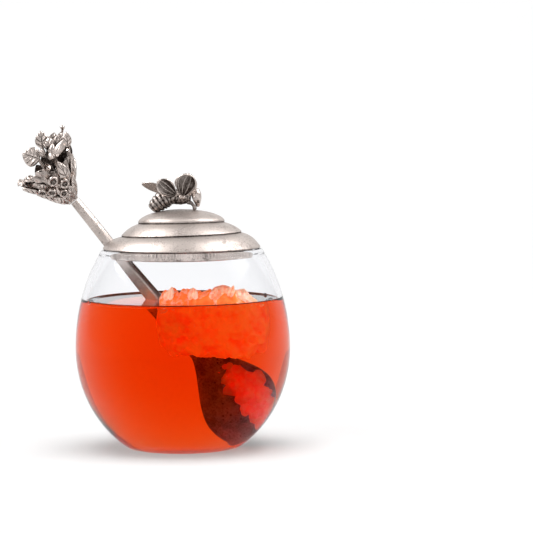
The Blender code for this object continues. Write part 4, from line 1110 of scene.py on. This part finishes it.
class HONEY_OT_posy(bpy.types.Operator):
    """Cast the posy on top of the stem: calyx, buds, leaves, blossom and stalk"""
    bl_idname = "honey.posy"
    bl_label = "Posy"

    def execute(self, context):
        s = context.scene.honey_posy
        metal = pewter("posy_pewter")
        self.add_calyx(s, metal)
        self.add_buds(s, metal)
        self.add_leaves(metal)
        self.add_ruffles(metal)
        self.add_bracts(metal)
        self.add_seed_stalk(metal)
        self.add_blossom(metal)
        self.add_closed_bud(metal)
        return {"FINISHED"}

    def add_calyx(self, s, metal):
        """The flared cup: bracts in relief outside, with patina where the relief is low and painted shade on the
        upper front; smooth inside, with painted shade that deepens down from the rim.
        """
        turn = full_turn(196)
        front = turn - 2.0 * math.pi
        rim = 1.0 - 0.20 * np.exp(-((front + 1.0) / 0.40) ** 4)
        outer_share = arc(0.0, 1.0, 70)[:, None] * rim
        outer = calyx_rings(outer_share, turn)
        fold = np.abs(np.sin(s.lobes * turn + 2.5 * np.sin(5.0 * outer_share)))
        scale = np.abs(np.sin(math.pi * 3.2 * outer_share + 0.9 * np.cos(2 * s.lobes * turn)))
        relief = capped(0.25 + 0.5 * fold ** 0.5 + 0.4 * scale ** 0.6)
        outward = outer * (1.0, 1.0, 0.0)
        outward /= np.maximum(np.linalg.norm(outward, axis=-1, keepdims=True), 1e-6)
        outer = outer + outward * ((relief - 0.7) * 0.0008 * smooth_step(outer_share, 0.0, 0.2))[..., None]
        floor_share = 0.415
        inner_share = floor_share + (rim - floor_share) * arc(1.0, 0.0, 40)[:, None]
        inner = calyx_rings(inner_share, turn, s.calyx_wall * 1.4)
        # Outside: patina where the relief is low, and painted shade on the upper part of the cup's front.
        outer_patina_and_shade = 1.05 - 1.0 * relief
        outer_patina_and_shade = outer_patina_and_shade + 0.5 * smooth_step(outer_share, 0.55, 0.8) * np.exp(-((front + 1.1) / 0.6) ** 2)
        # Inside: painted shade that deepens down from the rim.
        dark = 0.2 + 0.8 * smooth_step(rim - inner_share, 0.01, 0.12)
        rings = in_posy_frame(np.concatenate([outer, inner]))
        recess = capped(np.concatenate([outer_patina_and_shade, dark]))
        cast("calyx_fluted", [(rings, recess)], metal, "spoon", "calyx", sharp=60.0)

    def add_buds(self, s, metal):
        """Buds on the calyx's front: round, open at the top, with a dark middle and folded petals round it."""
        buds = mm((-0.4, 7.2, 2.1), (-3.2, 11.2, 2.3), (2.8, 10.8, 2.4), (-7.0, 14.9, 2.3), (-0.2, 15.0, 2.6))
        profile = smooth_path((
            (0.05, 0.0), (0.45, 0.02), (0.72, 0.22), (0.95, 0.5), (1.0, 0.75), (0.92, 1.0), (0.75, 1.08),
            (0.58, 1.0), (0.45, 0.75), (0.25, 0.6), (0.04, 0.58),
        ), 40)
        inside = smooth_step(arc(0.0, 1.0, 40), 0.66, 0.84)[:, None]

        def smooth_cup(part, turn):
            return calyx_rings(part, turn, 0.0, 0.0)

        for k, (across, along, radius) in enumerate(buds):
            part = along / s.calyx_length
            reach = s.throat_radius + (s.mouth_radius - s.throat_radius) * part ** FLARE_POWER
            turn = -math.acos(max(min(across / reach, 1.0), -1.0))
            step = smooth_cup(part + 0.02, turn) - smooth_cup(part - 0.02, turn)
            side = smooth_cup(part, turn + 0.02) - smooth_cup(part, turn - 0.02)
            normal = np.cross(side, step)
            normal /= np.linalg.norm(normal)
            tangent = step / np.linalg.norm(step)
            axes = np.stack([tangent, np.cross(normal, tangent), normal])
            fold = np.abs(np.cos(2.5 * full_turn(48) + k))
            local = turned_rings(profile, 48)
            local[..., :2] *= (1.0 + 0.10 * fold * smooth_step(profile[:, 1], 0.2, 0.8)[:, None])[..., None]
            points = smooth_cup(part, turn) + normal * 0.0004 + local * (radius, radius, 0.0028) @ axes
            recess = capped(0.1 + 0.5 * (1.0 - fold) ** 2 + 0.55 * inside)
            cast(f"bud_{k + 1}_open", [(in_posy_frame(points), recess)], metal, "spoon", f"bud_{k + 1}")

    def add_leaves(self, metal):
        """Leaves on stalks in the mouth, and a small leaf on the rim."""
        leaves = {
            "leaf_left": [
                stalk((-2.6, -1.8, POSY_FLOOR), (-1.1, -1.8, 18.3), (0.4, -3.8, 27.5)),
                petal(mm(0.8, -3.9, 27.0), mm(-4.0, -5.0, 34.6), (0.25, -1.0, 0.10), 10.2, bend=0.6, cup=-0.5),
                petal(mm(3.0, -4.6, 26.2), mm(5.0, -5.0, 30.4), (0.5, -1.0, 0.1), 3.4, bend=0.8, cup=-1.0),
            ],
            "leaf_top": [
                stalk((0.6, 2.4, POSY_FLOOR), (2.6, 2.4, 20.15), (4.6, 2.2, 31.2)),
                petal(mm(5.0, 1.0, 30.4), mm(9.8, 0.4, 37.8), (0.15, -1.0, 0.15), 7.0, bend=0.6, cup=-0.4),
            ],
            "leaf_right": [petal(mm(14.8, -0.2, 23.0), mm(19.6, -1.2, 29.2), (0.5, -1.0, 0.0), 5.0, bend=0.4)],
        }
        for name, shells in leaves.items():
            cast(name + "_veined", shells, metal, "spoon", name)

    def add_ruffles(self, metal):
        """Ruffled petals at the left of the rim: a row on the rim, a row inside it and leaves in front."""
        ruffles = []
        for k in range(7):
            turn = math.pi + math.pi / 7 + (k - 3) * 0.21
            rim = calyx_rings(1.0, turn)
            out = np.array((math.cos(turn), math.sin(turn), 0.0))
            reach, lift = 0.6 + 0.5 * (k % 2), 1.2 + 0.8 * (k % 3)
            ruffles.append(petal(
                rim - out * 0.0024 + mm(0, 0, 0.4), rim + out * reach * MM + mm(0, 0, lift),
                (0.3 * math.sin(3.0 * k), -0.8, 0.7), 4.0, furrowed, bend=0.7, curl=-0.6, cup=0.7,
            ))
        for k in range(5):
            turn = math.pi + 0.15 + 0.28 * k
            rim = calyx_rings(0.92, turn)
            out = np.array((math.cos(turn), math.sin(turn), 0.0))
            ruffles.append(petal(
                rim - out * 0.0052 + mm(0, 0, -0.4), rim - out * 0.0016 + mm(0, 0, 3.4 + 0.5 * (k % 2)),
                (0.4 * math.cos(2.0 * k), -1.0, 0.4), 5.8, furrowed, bend=0.8, curl=0.7, cup=0.6,
            ))
        # The leaves in front carry 0.28 of painted shade.
        for k in range(9):
            base = mm(-11.5 + 1.6 * k, -6.6 + 1.0 * (k % 3), 19.6 - 0.7 * k)
            ruffles.append(petal(
                base, base + mm(1.2 * math.sin(2.1 * k) - 0.8, -1.2, 4.6 + 0.6 * (k % 2)),
                (0.7 * math.cos(2.6 * k), -1.0, 0.5), 5.0, dark=0.28, bend=1.0, curl=-0.8, cup=0.8,
            ))
        cast("leaf_curled_ruffles", ruffles, metal, "spoon", "leaf_curled")

    def add_bracts(self, metal):
        """An arched sepal on the cup's front and small bracts all over its outside."""
        turn = math.radians(-52.0)
        sepal = petal(
            calyx_rings(0.42, turn) + mm(0.0, -1.0, 0.0), calyx_rings(0.87, turn) + mm(-0.4, -1.2, 0.4),
            (0.35, -1.0, -0.45), 6.4, bend=1.0, cup=-0.7,
        )
        cast("sepal_front_arched", [sepal], metal, "spoon", "sepal_front")
        bracts = []
        for degrees, start, stop, width in (
            (-28, 0.10, 0.56, 4.6), (-62, 0.04, 0.40, 4.6), (-100, 0.04, 0.34, 4.0), (-135, 0.05, 0.42, 4.4),
            (-158, 0.30, 0.70, 4.6), (-176, 0.10, 0.52, 4.2), (-150, 0.62, 0.98, 5.0), (-122, 0.62, 0.95, 4.8),
            (-12, 0.50, 0.92, 4.8), (140, 0.10, 0.55, 5.0), (100, 0.45, 0.92, 6.0), (60, 0.10, 0.55, 5.0),
            (20, 0.40, 0.90, 6.0), (150, 0.55, 0.96, 6.0),
        ):
            side = math.radians(degrees)
            out = np.array((math.cos(side), math.sin(side), -0.35))
            low, high = calyx_rings(start, side) + out * 0.0002, calyx_rings(stop, side) + out * 0.0011
            bracts.append(petal(low, high, out, width, bend=0.5, cup=-0.6))
        cast("calyx_bracts", bracts, metal, "spoon")

    def add_seed_stalk(self, metal):
        """A thin bent stalk from the rim with a knob at its end."""
        start = calyx_rings(1.0, 2.0 * math.pi / 7) + mm(-0.4, -0.3, 0.6)
        bends = mm((13.0, 8.6, 27.5), (17.2, 6.2, 30.8), (18.6, 5.6, 32.1), (19.4, 5.3, 33.4))
        radius = widths(40, (0.0, 0.2, 0.6, 0.75, 0.88, 0.97, 1.0), (0.8, 0.6, 0.6, 1.1, 1.3, 0.9, 0.3))
        rings = tube_rings(smooth_path(np.vstack([start, bends]), 40), radius, 16)
        cast("seed_stalk_knobbed", [(in_posy_frame(rings), 0.12)], metal, "spoon", "seed_stalk")

    def add_blossom(self, metal):
        """An open blossom of five petals round a ball on its stalk, among folded leaves."""
        foot, top = np.array((3.0, 0.2, POSY_FLOOR)), np.array((9.0, -0.6, 29.6))
        shells = [stalk(foot, (foot + top) / 2, top)]
        axis = (top - foot) / np.linalg.norm(top - foot)
        top = mm(*top)
        side = np.array((1.0, 0.0, -axis[0] / axis[2]))
        side /= np.linalg.norm(side)
        other = np.cross(axis, side)
        for k in range(5):
            turn = 2.0 * math.pi * k / 5 + 0.5
            out = side * math.cos(turn) + other * math.sin(turn)
            shells.append(petal(
                top + out * 0.0006 - axis * 0.0012, top + out * 0.0034 + axis * 0.0008, axis - out * 0.4, 4.2,
                furrowed, (26, 23), bend=-0.6, curl=0.8, cup=0.5,
            ))
        shells.append((in_posy_frame(ball_rings(top + mm(0.8, 0.0, 1.2), 0.0021, 18, 26)), 0.12))
        for base, tip, facing, width in (
            ((8.8, 2.0, 27.0), (14.2, 3.4, 33.0), (0.1, -1.0, 0.4), 6.2),
            ((11.0, 1.6, 25.0), (17.2, 3.0, 31.0), (0.3, -1.0, 0.2), 5.0),
            ((7.2, 1.4, 26.2), (10.4, 3.0, 33.8), (-0.2, -1.0, 0.3), 5.0),
            ((0.4, 3.0, 18.0), (3.0, 2.6, 28.8), (0.1, -1.0, 0.1), 6.4),
            ((4.2, 3.4, 18.0), (7.8, 3.0, 30.0), (0.1, -1.0, 0.1), 7.0),
            ((8.6, 3.4, 18.0), (12.2, 3.0, 30.0), (0.1, -1.0, 0.1), 7.0),
            ((12.0, 2.0, 18.0), (16.2, 1.6, 28.6), (0.1, -1.0, 0.1), 5.6),
            ((-4.0, 2.2, 18.0), (-3.0, 2.0, 26.2), (0.1, -1.0, 0.1), 6.4),
        ):
            # Painted shade: leaves that start low in the cup get 0.85, those set higher 0.35.
            dark = 0.35 if base[2] > 24.0 else 0.85
            shells.append(petal(
                mm(*base), mm(*tip), facing, width, veined, (36, 31), dark, bend=0.8, curl=-0.8, cup=0.8
            ))
        cast("blossom_open", shells, metal, "spoon", "blossom")

    def add_closed_bud(self, metal):
        """A closed bud with spiral folds on its own stalk, a long folded leaf, and petals below it."""
        path = smooth_path(mm(
            (2.2, -3.0, POSY_FLOOR), (5.2, -5.2, 18.5), (6.2, -6.0, 21.2), (6.6, -6.4, 23.6), (6.8, -6.6, 26.2)
        ), 60)
        radius = widths(60, (0.0, 0.45, 0.55, 0.70, 0.82, 0.94, 1.0), (0.8, 0.8, 1.1, 2.1, 2.2, 1.2, 0.3))
        fold = np.abs(np.sin(1.5 * full_turn(40) + 5.0 * arc(0.0, 1.0, 60)[:, None])) ** 0.5
        rings = tube_rings(path, radius[:, None] * (0.9 + 0.12 * fold), 40)
        shells = [(in_posy_frame(rings), capped(0.8 - 0.8 * fold))]
        for base, tip, facing, width in (
            ((6.4, -6.2, 23.6), (16.8, -5.0, 26.6), (-0.3, -1.0, 0.5), 4.0),
            ((6.8, -6.0, 22.8), (16.0, -4.8, 24.6), (-0.3, -1.0, -0.6), 3.4),
            ((6.6, -6.2, 24.0), (11.2, -5.2, 29.0), (0.3, -1.0, 0.3), 4.0),
        ):
            shells.append(petal(mm(*base), mm(*tip), facing, width, furrowed, (40, 25), -0.1, bend=1.0, cup=-1.2))
        shells.append((in_posy_frame(ball_rings(mm(9.0, -6.8, 22.6), 0.0009, 12, 16)), 0.0))
        middle = mm(1.2, -5.8, 19.2)
        for across, deep, rise in (
            (-1.6, -1.2, 3.6), (2.2, -1.4, 1.8), (0.2, -1.8, 0.6), (-2.6, -0.8, 1.0), (1.0, 0.2, 4.0)
        ):
            shells.append(petal(
                middle, middle + mm(across, deep, rise), (0.2 * across, -1.0, 1.2), 3.6, furrowed, (24, 21), -0.1,
                bend=-0.6, curl=1.0, cup=0.8,
            ))
        cast("closed_bud_folded", shells, metal, "spoon", "closed_bud")


def glowing_paper(name, glow):
    """Pale paper that keeps the pot's shadow; the picture, mirrors and glass see it near white.

    The share of its own light grows from 0.05 at the pot to 0.90 beyond a quarter of a metre.
    """
    white = bpy.context.scene.honey_finishes.floor_white
    material, tree, shader = plain_material(name, Base_Color=white, Roughness=0.9, Specular_IOR_Level=0.1)
    add, take, times = arithmetic(tree)
    rays = tree.nodes.new("ShaderNodeLightPath").outputs
    seen = maths(tree, "MAXIMUM", rays["Is Camera Ray"], rays["Is Glossy Ray"])
    seen = maths(tree, "MAXIMUM", seen, rays["Is Transmission Ray"])
    place = add_node(tree, "ShaderNodeTexCoord").outputs["Object"]
    far = add_node(tree, "ShaderNodeVectorMath", (("Vector", place),), (("operation", "LENGTH"),))
    far = times(take(far.outputs["Value"], 0.10), 6.0, clamp=True)
    seen = times(seen, add(times(far, 0.85), 0.05))
    light = add_node(tree, "ShaderNodeEmission", Color=(1.0, 1.0, 1.0), Strength=glow)
    blend = tree.nodes.new("ShaderNodeMixShader")
    for k, source in enumerate((seen, shader.outputs[0], light.outputs[0])):
        tree.links.new(source, blend.inputs[k])
    tree.links.new(blend.outputs[0], tree.nodes["Material Output"].inputs["Surface"])
    return material


class HONEY_OT_stage(bpy.types.Operator):
    """Set up the paper sweep, the soft lamps, the world and the camera"""
    bl_idname = "honey.stage"
    bl_label = "Stage"

    def execute(self, context):
        s = context.scene.honey_stage
        self.add_sweep(s)
        self.add_lamps()
        self.add_world()
        self.add_camera(context, s)
        context.scene.view_settings.view_transform = "Standard"
        return {"FINISHED"}

    def add_sweep(self, s):
        """One sheet of paper: flat under the pot, then bent up in a quarter circle behind it."""
        bent = arc(0.1, math.pi / 2, 14)
        run = np.concatenate([arc(-2.4, 1.2, 12), 1.2 + 0.9 * np.sin(bent), [2.1]])
        rise = np.concatenate([np.zeros(12), 0.9 * (1.0 - np.cos(bent)), [3.2]])
        across = arc(-2.6, 2.6, 9)
        flat = 0.0 * across
        points = np.stack([across + 0.0 * run[:, None], run[:, None] + flat, rise[:, None] + flat], axis=-1)
        index = np.arange(points[..., 0].size).reshape(points.shape[:2])
        faces = np.stack([index[:-1, :-1], index[:-1, 1:], index[1:, 1:], index[1:, :-1]], axis=-1).reshape(-1, 4)
        mesh = bpy.data.meshes.new("paper_sweep")
        mesh.from_pydata(points.reshape(-1, 3).tolist(), [], faces.tolist())
        mesh.shade_smooth()
        mesh.materials.append(glowing_paper("paper", s.glow))
        sweep = put("paper_sweep", mesh)

    def add_lamps(self):
        """Soft lamps aimed at the pot: one overhead, one at each side, one at front left and one low in front."""
        for name, place, (wide, tall), power, seen in LAMPS:
            light = bpy.data.lights.new(name, "AREA")
            light.shape = "RECTANGLE"
            light.size, light.size_y = wide, tall
            light.energy = power
            lamp = put(name, light)
            lamp.location = place
            lamp.rotation_euler = (Vector((0.0, 0.0, 0.07)) - Vector(place)).to_track_quat("-Z", "Y").to_euler()
            lamp.visible_glossy, lamp.visible_diffuse, lamp.visible_transmission = seen

    def add_world(self):
        """A plain world: near white to the camera, grey to mirrors and glass, dim to matt surfaces."""
        world = bpy.data.worlds.new("studio")
        world.use_nodes = True
        tree = world.node_tree
        add, _, times = arithmetic(tree)
        rays = tree.nodes.new("ShaderNodeLightPath").outputs
        seen = maths(tree, "MAXIMUM", rays["Is Glossy Ray"], rays["Is Transmission Ray"])
        strength = add(add(times(seen, 0.43), 0.23), times(rays["Is Camera Ray"], 0.85))
        back = tree.nodes["Background"]
        set_inputs(back, Color=(0.95, 0.95, 0.95))
        tree.links.new(strength, back.inputs["Strength"])
        bpy.context.scene.world = world

    def add_camera(self, context, s):
        """The camera, far off and a little above the pot, as in the photograph."""
        data = bpy.data.cameras.new("camera")
        data.sensor_width = 36.0
        data.lens = data.sensor_width * s.camera_distance / s.frame_width
        data.clip_end = 20.0
        camera = put("camera", data)
        drop = s.camera_height - s.centre_height
        target = Vector((s.centre_across, 0.0, s.centre_height))
        away = Vector((0.0, -math.sqrt(s.camera_distance ** 2 - drop ** 2), drop))
        camera.location = target + away
        camera.rotation_euler = (-away).to_track_quat("-Z", "Y").to_euler()
        camera.rotation_euler.rotate_axis("Z", -s.roll)
        context.scene.camera = camera


class HONEY_PT_panel(bpy.types.Panel):
    """The pot's pieces, one button each, and their sizes"""
    bl_idname = "HONEY_PT_panel"
    bl_label = "Honey Pot"
    bl_space_type = "VIEW_3D"
    bl_region_type = "UI"
    bl_category = "Honey Pot"

    def draw(self, context):
        for operator in OPERATORS:
            self.layout.operator(operator.bl_idname)
        for name, group in GROUPS.items():
            box = self.layout.box()
            box.label(text=group.__doc__)
            settings = getattr(context.scene, name)
            for key in group.__annotations__:
                box.prop(settings, key)


OPERATORS = (
    HONEY_OT_bowl, HONEY_OT_honey, HONEY_OT_comb, HONEY_OT_lid, HONEY_OT_bee, HONEY_OT_spoon, HONEY_OT_posy,
    HONEY_OT_stage,
)
GROUPS = {
    "honey_bowl": BowlSizes,
    "honey_lid": LidSizes,
    "honey_spoon": SpoonSizes,
    "honey_posy": PosySizes,
    "honey_finishes": Finishes,
    "honey_stage": StageSettings,
}


def register():
    """Register the settings, the operators and the panel."""
    for name, group in GROUPS.items():
        bpy.utils.register_class(group)
        setattr(bpy.types.Scene, name, PointerProperty(type=group))
    for item in (*OPERATORS, HONEY_PT_panel):
        bpy.utils.register_class(item)


def unregister():
    """Take everything out again, in reverse."""
    for item in (HONEY_PT_panel, *reversed(OPERATORS)):
        bpy.utils.unregister_class(item)
    for name, group in reversed(list(GROUPS.items())):
        delattr(bpy.types.Scene, name)
        bpy.utils.unregister_class(group)


def main():
    """Build the pot and its stage."""
    register()
    bpy.ops.honey.bowl()
    bpy.ops.honey.honey()
    bpy.ops.honey.comb()
    bpy.ops.honey.lid()
    bpy.ops.honey.bee()
    bpy.ops.honey.spoon()
    bpy.ops.honey.posy()
    bpy.ops.honey.stage()


if __name__ == "__main__":
    main()
